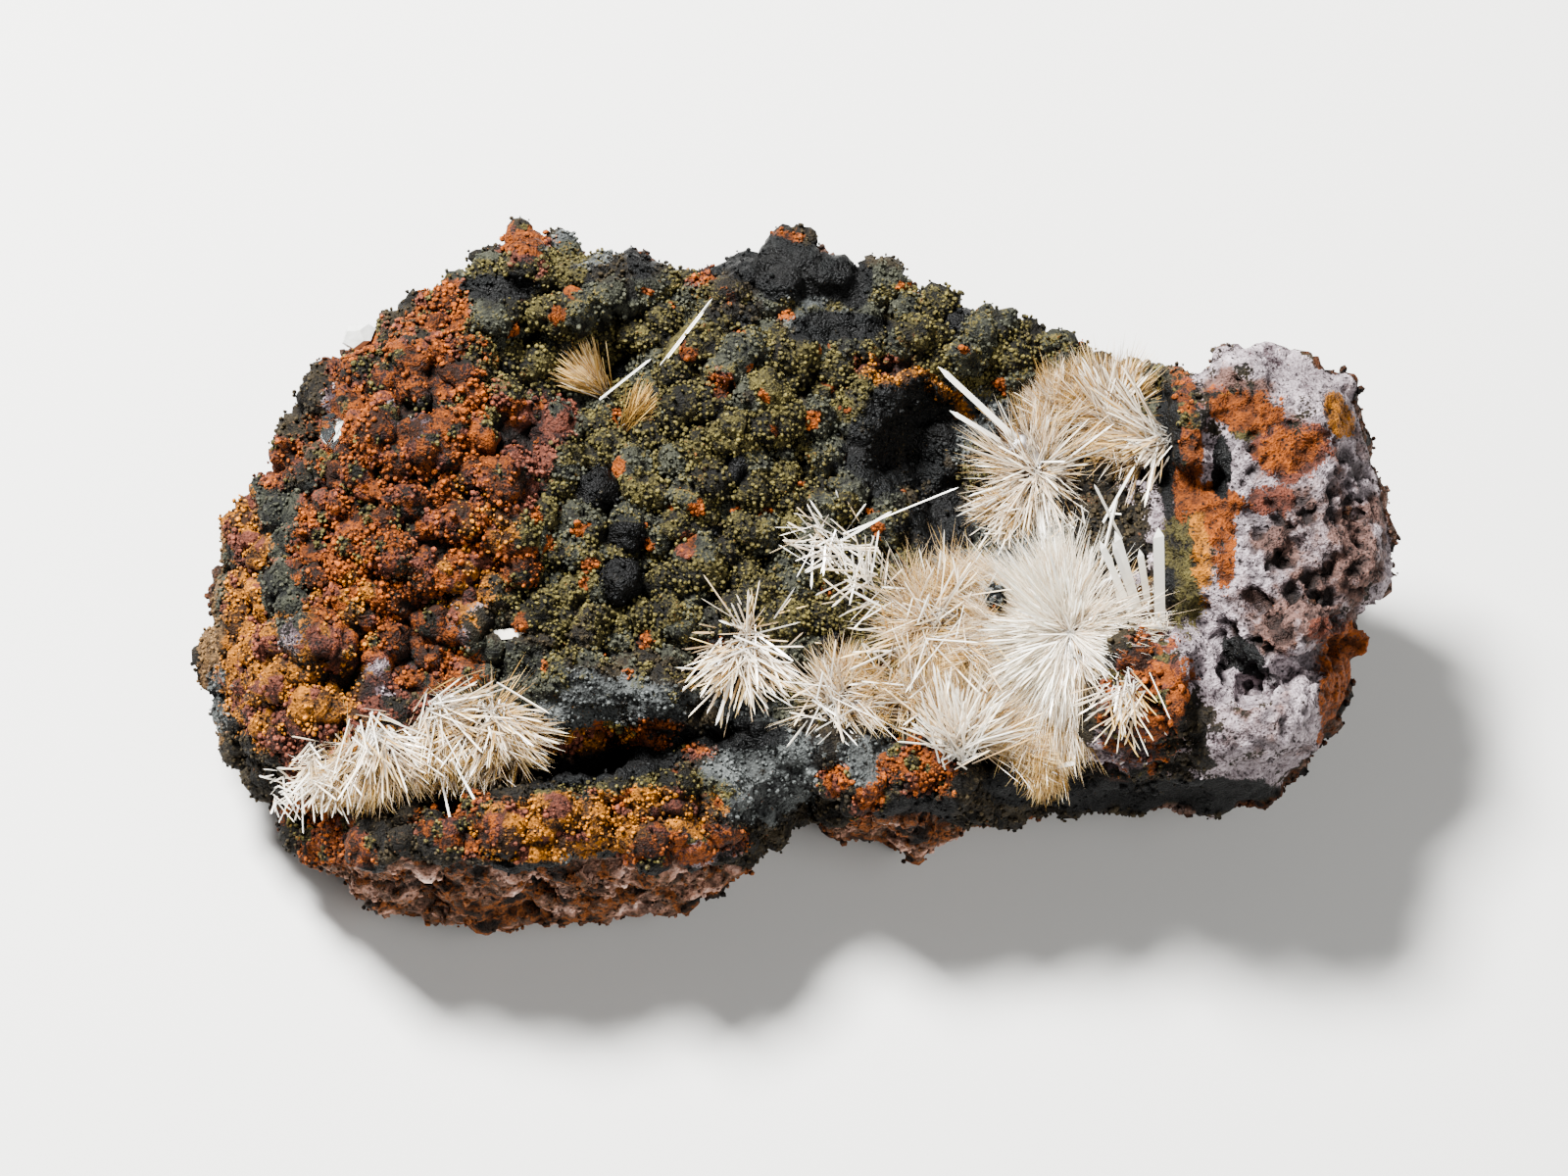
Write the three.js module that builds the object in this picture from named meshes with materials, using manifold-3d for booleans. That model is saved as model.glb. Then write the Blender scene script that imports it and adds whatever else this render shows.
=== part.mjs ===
// A hand specimen of scholzite: sprays of fine, pointed crystals grown on one lump of iron-stained gossan.
// The lump lies on its broken back with its crystal side up, sloping towards the front.
// Millimetres, +Z up, +X to the right and -Y to the front.

import * as THREE from 'three';
import { mergeVertices } from 'three/addons/utils/BufferGeometryUtils.js';
import Module from 'manifold-3d';

const wasm = await Module();
wasm.setup();

// The crystal side is laid out on a plane that leans back from the table: u runs across it and v runs up it.
const leanDeg = 60; // a line square to that plane rises this much above the table
const leanRad = THREE.MathUtils.degToRad(leanDeg);
const lean = { sin: Math.sin(leanRad), cos: Math.cos(leanRad) };
const middle = { x: 0, y: 8.9 }; // moves the plan's middle over the origin
const halfWidth = 46;
const halfHeight = 27;
const latticeStep = 1.6; // size of the smallest facets on the crystal side
const edgeClear = 0.62; // steps of the lattice left clear inside the edge
const outlineStep = 2.1; // and along its edge
const ragged = 0.35; // how far the edge wanders between its corners
const creaseReach = 0.75; // facets closer than this to a crease are drawn onto it
const rockTolerance = 0.28; // facets that bend less than this are joined
const crystalTolerance = 0.18;
const crystalGap = 0.35; // air left between a crystal spray and the rock

// Corners of the lump on that plane, anticlockwise.
const rightEnd = [
  [42, -3.3], [43.6, -2.1], [45, 0], [43.5, 8.5], [41.5, 15], [37, 16.8], [34.3, 17.3], [32, 17],
];
const backEdge = [
  [30.3, 14.4], [24.7, 15.8], [19, 17.8], [12.7, 20], [8.4, 22], [5.8, 23.6], [4.2, 23], [0.8, 25.5],
  [-1, 25.7], [-3, 24.6], [-5.9, 23.4], [-9.2, 22.1], [-11, 24.8], [-12.4, 24.8], [-13.5, 23.6],
  [-17.2, 25.7], [-20.9, 26.3], [-23.8, 24], [-24.2, 22.6],
];
const leftEnd = [
  [-28.4, 20.5], [-33.4, 17.5], [-37, 13], [-39.2, 8.3], [-42.4, 4.6], [-44.2, -0.5], [-45, -6],
  [-43, -12.4], [-38.3, -17], [-37, -20.5],
];
const frontEdge = [
  [-33, -24.3], [-30, -25.6], [-22.6, -26.4], [-19.8, -25.4], [-16.7, -26.3], [-8.1, -25], [-5.6, -23.8],
  [-2, -19.5], [1.1, -17.5], [3.7, -19.8], [6.8, -20], [9.2, -21], [11.3, -19.5], [18.3, -17.6],
  [35.6, -17.2], [38.3, -14.7], [39.8, -11.4], [41.5, -8],
];
const outline = [...rightEnd, ...backEdge, ...leftEnd, ...frontEdge];

// Height of the crystal side above the table before its swells: the back stands higher than the front.
const slope = { atMiddle: 20, perMillimetre: 0.3 };

// Swells and hollows: at [u, v], half-sizes, turn, rise, how steep the edge is, and how square the corners.
const swells = [
  { at: [-27, 8], size: [10, 11.5], turn: 0, rise: 2.6, edge: 2, corner: 2 }, // red knobbly dome
  { at: [-15, 2], size: [12, 9], turn: 0, rise: 1.4, edge: 2, corner: 2 }, // olive field
  { at: [-5.2, 13], size: [7.5, 8.5], turn: 0, rise: 2.2, edge: 2, corner: 2 }, // olive mound
  { at: [-21, 20], size: [9, 4], turn: 5, rise: 1.4, edge: 3, corner: 3 }, // shelf at the back left
  { at: [-14, 14.8], size: [5.8, 4.4], turn: -30, rise: -3.2, edge: 2, corner: 2 }, // hollow of the fans
  { at: [-8.5, 21], size: [3.4, 4.5], turn: 0, rise: -1.8, edge: 2, corner: 2 }, // dip in the back edge
  { at: [0, 23], size: [6, 3.6], turn: 0, rise: 1.5, edge: 2, corner: 2 }, // crest of the back edge
  { at: [17.5, 9], size: [12, 9.5], turn: 0, rise: -3.4, edge: 3, corner: 2 }, // cavity of the star
  { at: [9.5, 5], size: [6.5, 6.5], turn: 20, rise: -1.4, edge: 2, corner: 2 }, // black hollow
  { at: [-18.5, 17.6], size: [5.4, 1.8], turn: -9, rise: -1.8, edge: 2, corner: 2 },
  { at: [-11, 1], size: [1.9, 2.9], turn: 15, rise: -1.7, edge: 2, corner: 2 }, // pits in the olive field
  { at: [-6.2, 3.4], size: [1.8, 2.2], turn: 0, rise: -1.5, edge: 2, corner: 2 },
  { at: [-18.3, -0.3], size: [2.6, 1.6], turn: -10, rise: -1.6, edge: 2, corner: 2 },
  { at: [-23, 1.2], size: [2.4, 1.7], turn: 20, rise: -1.4, edge: 2, corner: 2 },
  { at: [-14, -8.6], size: [9, 2.6], turn: -6, rise: 2.2, edge: 2.5, corner: 2 }, // slate ridge
  { at: [-14, -17.6], size: [17, 3.6], turn: 3, rise: 1.6, edge: 4, corner: 3 }, // ochre ledge
  { at: [4, -14], size: [6, 3.5], turn: 0, rise: 1.0, edge: 3, corner: 2 }, // slate hump
  { at: [36.8, 1.5], size: [10, 17], turn: 0, rise: 3.8, edge: 9, corner: 6 }, // raised lilac block
  { at: [30.1, 10.2], size: [2.7, 4.3], turn: -4, rise: 1.1, edge: 5, corner: 3 },
  { at: [33.4, 15.3], size: [2.8, 2.4], turn: 0, rise: 1.3, edge: 3, corner: 2 },
  { at: [39.5, 13], size: [3.6, 3.4], turn: -30, rise: 1.0, edge: 3, corner: 2 },
  { at: [34.8, -11.2], size: [6, 3], turn: 14, rise: 1.8, edge: 6, corner: 4 }, // lilac slab
  { at: [36.3, -4.8], size: [5, 1.9], turn: 28, rise: 1.4, edge: 4, corner: 3 },
  { at: [43, 0.2], size: [2.8, 3.4], turn: 0, rise: 1.2, edge: 3, corner: 2 },
  { at: [25.6, -8.6], size: [3.2, 4.6], turn: -8, rise: 4.4, edge: 7, corner: 5 }, // rust block
  { at: [-36.5, -4.6], size: [2.4, 2.7], turn: 0, rise: 1.7, edge: 3, corner: 2 },
  { at: [-38.5, -10], size: [3.5, 4], turn: 20, rise: 1.0, edge: 3, corner: 2 },
];

// Clefts and cracks: straight valleys from one point to the next, with their half-widths.
const clefts = [
  { from: [-35.5, -17.6], to: [-25, -15.8], width: 2.1, depth: 3.6 },
  { from: [-25, -15.4], to: [-14, -12.8], width: 2.8, depth: 6.0 }, // under the left spray
  { from: [-14, -12.6], to: [-5, -11.6], width: 1.6, depth: 2.8 },
  { from: [20, -14.4], to: [27, -14.9], width: 1.3, depth: 2.6 },
  { from: [29.2, -2.2], to: [33.4, -8.3], width: 1.3, depth: 2.4 }, // cracks in the lilac block
  { from: [33.4, -8.3], to: [40.2, -5.2], width: 1.1, depth: 2.0 },
  { from: [31.4, 10.8], to: [31.6, 6.4], width: 1.1, depth: 2.2 },
  { from: [27.4, 6.9], to: [31.5, 7.1], width: 1.1, depth: 2.2 },
  { from: [40.4, 7.0], to: [42.0, 2.6], width: 1.1, depth: 1.8 },
];

// How far the surface falls towards its edge, and over what width, by the compass bearing from the middle.
const rimFall = [
  { bearing: 0, fall: 6, width: 5 },
  { bearing: 40, fall: 3.5, width: 4 },
  { bearing: 90, fall: 1.6, width: 2.8 },
  { bearing: 140, fall: 3.4, width: 4.5 },
  { bearing: 165, fall: 7, width: 9 },
  { bearing: 185, fall: 10, width: 12 },
  { bearing: 205, fall: 9.5, width: 9 },
  { bearing: 228, fall: 9, width: 6 },
  { bearing: 262, fall: 8.5, width: 5 },
  { bearing: 275, fall: 7.5, width: 4.5 },
  { bearing: 310, fall: 8.5, width: 3.2 },
  { bearing: 345, fall: 7, width: 4 },
  { bearing: 360, fall: 6, width: 5 },
];
const bearingSquash = 1.7; // makes the long outline round before a bearing is taken
const rimCurve = 1.7;

// Lines that facets are drawn onto, so that steps and clefts stay sharp.
const creases = [
  [[27.3, 16.2], [27.5, 5.0], [28.4, -2.6], [29.0, -12.0]], // top of the lilac block's left wall
  [[26.0, 14.8], [26.2, 5.4], [26.4, -2.8]], // and its foot
  [[22.6, -4.3], [22.9, -13.0], [28.6, -13.2]], // rust block
  [[-36.5, -19.8], [-28, -21.0], [-14, -21.0], [-5.5, -19.6], [-1, -16.4]], // lip of the ochre ledge
  [[29.2, -12.8], [31, -8.9], [40.2, -7.6]], // lilac slab
  ...clefts.map((c) => [c.from, c.to]),
];

// Botryoidal lumps cover the crust, and are lower on the lilac block and under the sprays.
const lumpPitch = 3.4;
const lumpRise = 1.3;
const lilacFrom = 27; // the lilac block is right of this
const lilacShare = 0.45;
const underSprayShare = 0.25;

// Balls of goethite and vugs in the rock: at [u, v], and radius.
const ballSink = 0.15; // of the radius
const vugSink = 0.1;
const balls = [
  { at: [-19.9, 23.4], radius: 1.2 }, { at: [-5.5, 13.9], radius: 0.9 }, { at: [-5.1, 20.7], radius: 0.9 },
  { at: [-20.6, 0.9], radius: 1.4 }, { at: [-21.5, 6.6], radius: 1.2 }, { at: [-18.8, 11.4], radius: 1.3 },
  { at: [-24.0, -4.2], radius: 1.5 }, { at: [-17.4, -14.6], radius: 1.1 }, { at: [2.8, -15.1], radius: 1.2 },
  { at: [5.9, -17.1], radius: 1.4 }, { at: [41.7, -4.9], radius: 1.5 }, { at: [-27.2, 13.2], radius: 1.7 },
  { at: [-16.8, 4.6], radius: 1.0 }, { at: [-23.6, 9.4], radius: 1.5 },
];
const vugs = [
  { at: [37.0, 2.2], radius: 1.0 }, { at: [39.9, 1.0], radius: 0.9 }, { at: [33.8, -2.1], radius: 0.9 },
  { at: [31.0, 10.2], radius: 0.9 }, { at: [41.5, 4.6], radius: 0.8 }, { at: [33.5, -5.4], radius: 1.1 },
  { at: [38.2, -1.6], radius: 0.7 }, { at: [-35.0, -6.3], radius: 0.9 }, { at: [29.8, 13.0], radius: 0.8 },
];

// Broken walls below the edge.
const wallRings = 5;
const baseShare = 0.92; // the base against the outline in plan
const evening = 5; // edge points taken together where the wall has lost the teeth of the edge
const wallBulge = 1.5;
const chips = [{ pitch: 11, depth: 5 }, { pitch: 4.5, depth: 1.8 }];

// Sprays. A fan is a burr of crystals from one root: its bearings run anticlockwise from +u on the crystal
// side, and it is short outside them. A blade is one broad crystal, rising off that side by an angle.
const fanHeight = 0.8; // of a fan's reach, square to the crystal side
const shortShare = 0.5; // the hollows between a fan's tips, and its short side
const longShare = 0.82; // the least of the tips
const fanFoot = 0.6;
const pointLength = 2.4;
const sprays = {
  main_spray: {
    fans: [
      { root: [20.6, -5.2], bearing: [0, 260], reach: 8.8, detail: 2 },
      { root: [12.8, -4.8], bearing: [60, 290], reach: 8.4, detail: 2 },
      { root: [25.2, -4.0], bearing: [30, 160], reach: 6.2, detail: 2 },
      { root: [21.2, -9.2], bearing: [150, 360], reach: 6.2, detail: 2 },
      { root: [4.6, -9.2], bearing: [60, 360], reach: 5.4, detail: 2 },
      { root: [8.8, -9.6], bearing: [0, 360], reach: 4.2, detail: 1 },
      { root: [12.6, -10.4], bearing: [150, 300], reach: 5.0, detail: 2 },
      { root: [17.4, -12.4], bearing: [150, 340], reach: 5.4, detail: 2 },
    ],
    blades: [
      { root: [25.9, -3.6], bearing: 107, rise: 24, reach: 8.2, width: 0.9 },
      { root: [26.7, -3.4], bearing: 96, rise: 26, reach: 8.0, width: 1.0 },
      { root: [25.2, -3.2], bearing: 116, rise: 20, reach: 6.6, width: 0.8 },
    ],
  },
  back_spray: {
    fans: [
      { root: [18.4, 8.4], bearing: [0, 360], reach: 6.2, detail: 2 },
      { root: [16.6, 4.6], bearing: [150, 330], reach: 4.6, detail: 2 },
      { root: [20.6, 12.6], bearing: [60, 190], reach: 4.8, detail: 2 },
      { root: [24.4, 12.4], bearing: [40, 160], reach: 4.6, detail: 2 },
      { root: [25.6, 9.0], bearing: [120, 260], reach: 5.2, detail: 2 },
    ],
    blades: [
      { root: [18.2, 8.8], bearing: 138, rise: 16, reach: 10.2, width: 0.8 },
      { root: [18.0, 8.6], bearing: 150, rise: 14, reach: 6.8, width: 0.7 },
    ],
  },
  outlying_spray: {
    fans: [{ root: [3.4, 2.8], bearing: [0, 360], reach: 3.8, detail: 2 }],
    blades: [{ root: [3.6, 3.1], bearing: 22, rise: 12, reach: 9.4, width: 0.5 }],
  },
  small_spray: {
    fans: [{ root: [-3.4, -7.2], bearing: [0, 360], reach: 4.8, detail: 2 }],
    blades: [{ root: [-3.6, -7.0], bearing: 184, rise: 12, reach: 8, width: 0.5 }],
  },
  left_spray: {
    fans: [
      { root: [-37.4, -15.8], bearing: [0, 360], reach: 3.0, detail: 1 },
      { root: [-35.6, -15.9], bearing: [0, 360], reach: 3.4, detail: 1 },
      { root: [-33.6, -15.2], bearing: [0, 360], reach: 3.8, detail: 1 },
      { root: [-31.8, -14.4], bearing: [0, 360], reach: 4.0, detail: 2 },
      { root: [-27.2, -13.2], bearing: [0, 360], reach: 4.4, detail: 2 },
      { root: [-22.6, -12.2], bearing: [0, 360], reach: 5.6, detail: 2 },
    ],
    blades: [{ root: [-26.4, -13.6], bearing: 284, rise: 16, reach: 6.2, width: 0.5 }],
  },
  upper_fan: {
    fans: [{ root: [-14.4, 14.2], bearing: [80, 200], reach: 4, detail: 1 }],
    blades: [],
  },
  lower_fan: {
    fans: [{ root: [-11.6, 10.2], bearing: [40, 180], reach: 3.8, detail: 1 }],
    blades: [],
  },
};
const fans = Object.values(sprays).flatMap((s) => s.fans);

// Single crystals and chips that lie on the lump.
const loose = {
  long_needle: { root: [-10.0, 15.6], bearing: 52, rise: 10, reach: 6.8, width: 0.7, lift: 1.9 },
  small_prism: { root: [-22.1, -4.3], bearing: 6, rise: 8, reach: 2.4, width: 0.9 },
};
const grains = {
  quartz_chip: { at: [-32.7, 18.0], size: [1.5, 1.2, 1.1] },
  clear_crystal: { at: [-34.3, 10.7], size: [1.2, 1.5, 1.0] },
};

const clamp01 = (t) => Math.min(1, Math.max(0, t));
const smooth = (t) => clamp01(t) ** 2 * (3 - 2 * clamp01(t));
const mix = (a, b, t) => a + (b - a) * t;

// A repeatable number from 0 to 1 for a pair of whole numbers.
function chance(i, j, seed) {
  const s = Math.sin(i * 127.1 + j * 311.7 + seed * 74.7) * 43758.5453;
  return s - Math.floor(s);
}

function nearestOnSegment([u, v], [au, av], [bu, bv]) {
  const along = clamp01(((u - au) * (bu - au) + (v - av) * (bv - av)) / ((bu - au) ** 2 + (bv - av) ** 2));
  const at = [mix(au, bu, along), mix(av, bv, along)];
  return { at, gap: Math.hypot(u - at[0], v - at[1]) };
}

function edgeDistance(point) {
  const gaps = outline.map((a, i) => nearestOnSegment(point, a, outline[(i + 1) % outline.length]).gap);
  return Math.min(...gaps);
}

function insideOutline([u, v]) {
  let inside = false;
  outline.forEach(([au, av], i) => {
    const [bu, bv] = outline[(i + 1) % outline.length];
    if (av > v !== bv > v && u < ((bu - au) * (v - av)) / (bv - av) + au) inside = !inside;
  });
  return inside;
}

function swellHeight([u, v], { at, size, turn, rise, edge, corner }) {
  const t = THREE.MathUtils.degToRad(turn);
  const du = (u - at[0]) * Math.cos(t) + (v - at[1]) * Math.sin(t);
  const dv = (v - at[1]) * Math.cos(t) - (u - at[0]) * Math.sin(t);
  const reach = (Math.abs(du / size[0]) ** corner + Math.abs(dv / size[1]) ** corner) ** (1 / corner);
  return rise * smooth(1 - reach ** edge);
}

function rimDrop(point, distance) {
  const bearing = (THREE.MathUtils.radToDeg(Math.atan2(point[1] * bearingSquash, point[0])) + 360) % 360;
  const next = rimFall.findIndex((r) => r.bearing > bearing);
  const [a, b] = [rimFall[next - 1], rimFall[next]];
  const t = (bearing - a.bearing) / (b.bearing - a.bearing);
  return mix(a.fall, b.fall, t) * clamp01(1 - distance / mix(a.width, b.width, t)) ** rimCurve;
}

// From 0 to 1, the tallest of the lumps near a point: one lump per cell of a jittered grid.
function lumps([u, v], pitch) {
  const [ci, cj] = [Math.floor(u / pitch), Math.floor(v / pitch)];
  let best = 0;
  for (let i = ci - 1; i <= ci + 1; i++)
    for (let j = cj - 1; j <= cj + 1; j++) {
      const [lu, lv] = [(i + chance(i, j, 1)) * pitch, (j + chance(i, j, 2)) * pitch];
      const radius = pitch * mix(0.5, 0.85, chance(i, j, 3));
      const dome = clamp01(1 - ((u - lu) ** 2 + (v - lv) ** 2) / radius ** 2);
      best = Math.max(best, dome * mix(0.6, 1, chance(i, j, 4)));
    }
  return best;
}

// How far a point of the crystal side stands above the table.
function surfaceHeight(point) {
  const [u, v] = point;
  let z = slope.atMiddle + slope.perMillimetre * v;
  for (const s of swells) z += swellHeight(point, s);
  for (const c of clefts) z -= c.depth * smooth(1 - nearestOnSegment(point, c.from, c.to).gap / c.width);
  const underSpray = fans.some((f) => Math.hypot(u - f.root[0], v - f.root[1]) < f.reach * fanFoot);
  const share = mix(1, lilacShare, smooth((u - lilacFrom) / 2)) * (underSpray ? underSprayShare : 1);
  z += lumpRise * share * lumps(point, lumpPitch);
  return z - rimDrop(point, edgeDistance(point));
}

// The point itself, or the nearest point of a crease close by.
function creased(point) {
  let best = { gap: creaseReach, at: point };
  for (const line of creases)
    for (let k = 1; k < line.length; k++) {
      const near = nearestOnSegment(point, line[k - 1], line[k]);
      if (near.gap < best.gap) best = near;
    }
  return best.at;
}

const onTable = ([u, v], z) => new THREE.Vector3(u + middle.x, (v - z * lean.cos) / lean.sin + middle.y, z);

// Outline points closer together, so that the edge has facets like the rest.
function fineOutline() {
  return outline.flatMap((a, i) => {
    const b = outline[(i + 1) % outline.length];
    const length = Math.hypot(b[0] - a[0], b[1] - a[1]);
    const pieces = Math.max(1, Math.round(length / outlineStep));
    return Array.from({ length: pieces }, (_, k) => {
      const off = k ? (ragged * (2 * chance(i, k, 6) - 1)) / length : 0;
      const t = k / pieces;
      return [mix(a[0], b[0], t) - off * (b[1] - a[1]), mix(a[1], b[1], t) + off * (b[0] - a[0])];
    });
  });
}

// Points of a triangular lattice well inside the outline, and their triangles.
function lattice() {
  const row = (latticeStep * Math.sqrt(3)) / 2;
  const [rows, columns] = [Math.ceil(halfHeight / row), Math.ceil(halfWidth / latticeStep)];
  const points = [];
  const index = new Map();
  for (let j = -rows; j <= rows; j++)
    for (let i = -columns; i <= columns; i++) {
      const p = [(i + (Math.abs(j) % 2) / 2) * latticeStep, j * row];
      if (!insideOutline(p) || edgeDistance(p) < latticeStep * edgeClear) continue;
      index.set(i + ',' + j, points.length);
      points.push(creased(p));
    }
  const triangles = [];
  const at = (i, j) => index.get(i + ',' + j);
  for (let j = -rows; j < rows; j++)
    for (let i = -columns; i < columns; i++) {
      const above = i + (Math.abs(j) % 2);
      const pointingUp = [at(i, j), at(i + 1, j), at(above, j + 1)];
      const pointingDown = [at(i + 1, j), at(above + 1, j + 1), at(above, j + 1)];
      triangles.push(...[pointingUp, pointingDown].filter((t) => t.every((k) => k !== undefined)));
    }
  return { points, triangles };
}

// The edges that only one triangle has, chained into one loop.
function boundaryLoop(triangles) {
  const edges = new Set(triangles.flatMap(([a, b, c]) => [a + ',' + b, b + ',' + c, c + ',' + a]));
  const next = new Map();
  for (const e of edges) {
    const [a, b] = e.split(',').map(Number);
    if (!edges.has(b + ',' + a)) next.set(a, b);
  }
  const loops = [];
  while (next.size) {
    const loop = [];
    let k = next.keys().next().value;
    while (next.has(k)) {
      loop.push(k);
      const n = next.get(k);
      next.delete(k);
      k = n;
    }
    loops.push(loop);
  }
  return loops.sort((a, b) => b.length - a.length)[0];
}

// Triangles between an inner loop and an outer one, always taking the shorter of the two next rungs.
function zip(points, inner, outer) {
  const gap = (a, b) => Math.hypot(points[a][0] - points[b][0], points[a][1] - points[b][1]);
  const start = outer.reduce((best, k, i) => (gap(inner[0], k) < gap(inner[0], outer[best]) ? i : best), 0);
  const ring = [...outer.slice(start), ...outer.slice(0, start)];
  const triangles = [];
  let [i, o] = [0, 0];
  while (i < inner.length || o < ring.length) {
    const [a, b] = [inner[i % inner.length], ring[o % ring.length]];
    const [an, bn] = [inner[(i + 1) % inner.length], ring[(o + 1) % ring.length]];
    if (o >= ring.length || (i < inner.length && gap(an, b) < gap(a, bn))) {
      triangles.push([a, b, an]);
      i++;
    } else {
      triangles.push([a, b, bn]);
      o++;
    }
  }
  return triangles;
}

function geometryOf(vertices, triangles) {
  const g = new THREE.BufferGeometry().setFromPoints(vertices);
  g.setIndex(triangles.flat());
  return g;
}

// Adds the rings of points under the rim that make the broken walls, and returns the last one.
function addWalls(vertices, faces, rim) {
  const plan = new THREE.Box3().setFromPoints(rim.map((k) => vertices[k])).getCenter(new THREE.Vector3());
  let arc = 0;
  const arcs = rim.map((k, n) => (arc += vertices[k].distanceTo(vertices[rim[(n || rim.length) - 1]])));
  const evened = rim.map((_, n) => {
    const sum = new THREE.Vector3();
    for (let m = n - evening; m <= n + evening; m++) sum.add(vertices[rim[(m + rim.length) % rim.length]]);
    return sum.divideScalar(2 * evening + 1);
  });
  let ring = rim;
  for (let r = 1; r <= wallRings; r++) {
    const t = r / wallRings;
    const below = rim.map((k, n) => {
      const top = vertices[k];
      const inward = new THREE.Vector3(plan.x - top.x, plan.y - top.y, 0).normalize();
      const even = evened[n].clone().lerp(plan, (1 - baseShare) * t);
      const p = top.clone().lerp(even, Math.min(1, t * 2));
      p.z = top.z * (1 - t);
      p.addScaledVector(inward, -wallBulge * Math.sin(Math.PI * t));
      for (const { pitch, depth } of chips) {
        const chip = depth * (0.5 - lumps([arcs[n], p.z], pitch));
        p.addScaledVector(inward, chip * Math.min(1, t * 2));
      }
      const onSide = () => [p.x - middle.x, (p.y - middle.y) * lean.sin + p.z * lean.cos];
      while (!insideOutline(onSide())) p.addScaledVector(inward, 0.2);
      return vertices.push(p) - 1;
    });
    ring.forEach((k, n) => {
      const m = (n + 1) % ring.length;
      faces.push([k, below[n], ring[m]], [ring[m], below[n], below[m]]);
    });
    ring = below;
  }
  return ring;
}

// The whole lump as one closed surface: crystal side, walls and flat base.
function lumpGeometry() {
  const { points, triangles } = lattice();
  const inner = boundaryLoop(triangles);
  const rim = fineOutline().map((p) => points.push(p) - 1);
  const faces = [...triangles, ...zip(points, inner, rim)];
  const vertices = points.map((p) => onTable(p, surfaceHeight(p)));
  const foot = addWalls(vertices, faces, rim);
  const footPlan = foot.map((k) => new THREE.Vector2(vertices[k].x, vertices[k].y));
  const base = THREE.ShapeUtils.triangulateShape(footPlan, []);
  faces.push(...base.map(([a, b, c]) => [foot[a], foot[c], foot[b]]));
  return geometryOf(vertices, faces);
}

function bareGeometry(geometry) {
  const bare = geometry.clone();
  bare.deleteAttribute('normal');
  bare.deleteAttribute('uv');
  return bare;
}

function solidOf(geometry) {
  const merged = mergeVertices(bareGeometry(geometry), 1e-4);
  return new wasm.Manifold(
    new wasm.Mesh({
      numProp: 3,
      vertProperties: new Float32Array(merged.attributes.position.array),
      triVerts: new Uint32Array(merged.index.array),
    }),
  );
}

function geometryOfSolid(solid) {
  const { vertProperties, triVerts } = solid.getMesh();
  const g = new THREE.BufferGeometry();
  g.setAttribute('position', new THREE.BufferAttribute(new Float32Array(vertProperties), 3));
  g.setIndex(new THREE.BufferAttribute(new Uint32Array(triVerts), 1));
  return g;
}

// The lump pushed out along its normals, to cut the sprays that sit on it.
function grown(geometry, by) {
  const g = mergeVertices(geometry.clone(), 1e-4);
  g.computeVertexNormals();
  const { position, normal } = g.attributes;
  for (let k = 0; k < position.count; k++) {
    const p = new THREE.Vector3().fromBufferAttribute(position, k);
    p.addScaledVector(new THREE.Vector3().fromBufferAttribute(normal, k), by);
    position.setXYZ(k, p.x, p.y, p.z);
  }
  g.deleteAttribute('normal');
  return g;
}

function ballAt({ at, radius }, sink) {
  const g = new THREE.IcosahedronGeometry(radius, 1);
  const c = onTable(at, surfaceHeight(at));
  const outward = new THREE.Vector3(0, -lean.cos, lean.sin);
  return solidOf(g.translate(...c.addScaledVector(outward, -radius * sink).toArray()));
}

function rock() {
  let solid = solidOf(lumpGeometry());
  for (const b of balls) solid = solid.add(ballAt(b, ballSink));
  for (const v of vugs) solid = solid.subtract(ballAt(v, vugSink));
  return solid.simplify(rockTolerance);
}

// A three-sided crystal with a pointed end, growing from the origin along +Y.
function prism(width, reach) {
  const profile = [
    new THREE.Vector2(0, 0),
    new THREE.Vector2(width / 2, 0),
    new THREE.Vector2(width / 2, reach - Math.min(pointLength, reach / 3)),
    new THREE.Vector2(0, reach),
  ];
  return new THREE.LatheGeometry(profile, 3);
}

function bladeSolid({ root, bearing, rise, reach, width, lift = 0.5 }, grow = 0) {
  const [b, r] = [THREE.MathUtils.degToRad(bearing), THREE.MathUtils.degToRad(rise)];
  const [across, up, out] = [Math.cos(r) * Math.cos(b), Math.cos(r) * Math.sin(b), Math.sin(r)];
  const way = new THREE.Vector3(across, up * lean.sin - out * lean.cos, up * lean.cos + out * lean.sin);
  const turn = new THREE.Quaternion().setFromUnitVectors(new THREE.Vector3(0, 1, 0), way);
  const base = onTable(root, surfaceHeight(root) + lift);
  return solidOf(prism(width + 2 * grow, reach + grow).applyQuaternion(turn).translate(...base));
}

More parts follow.
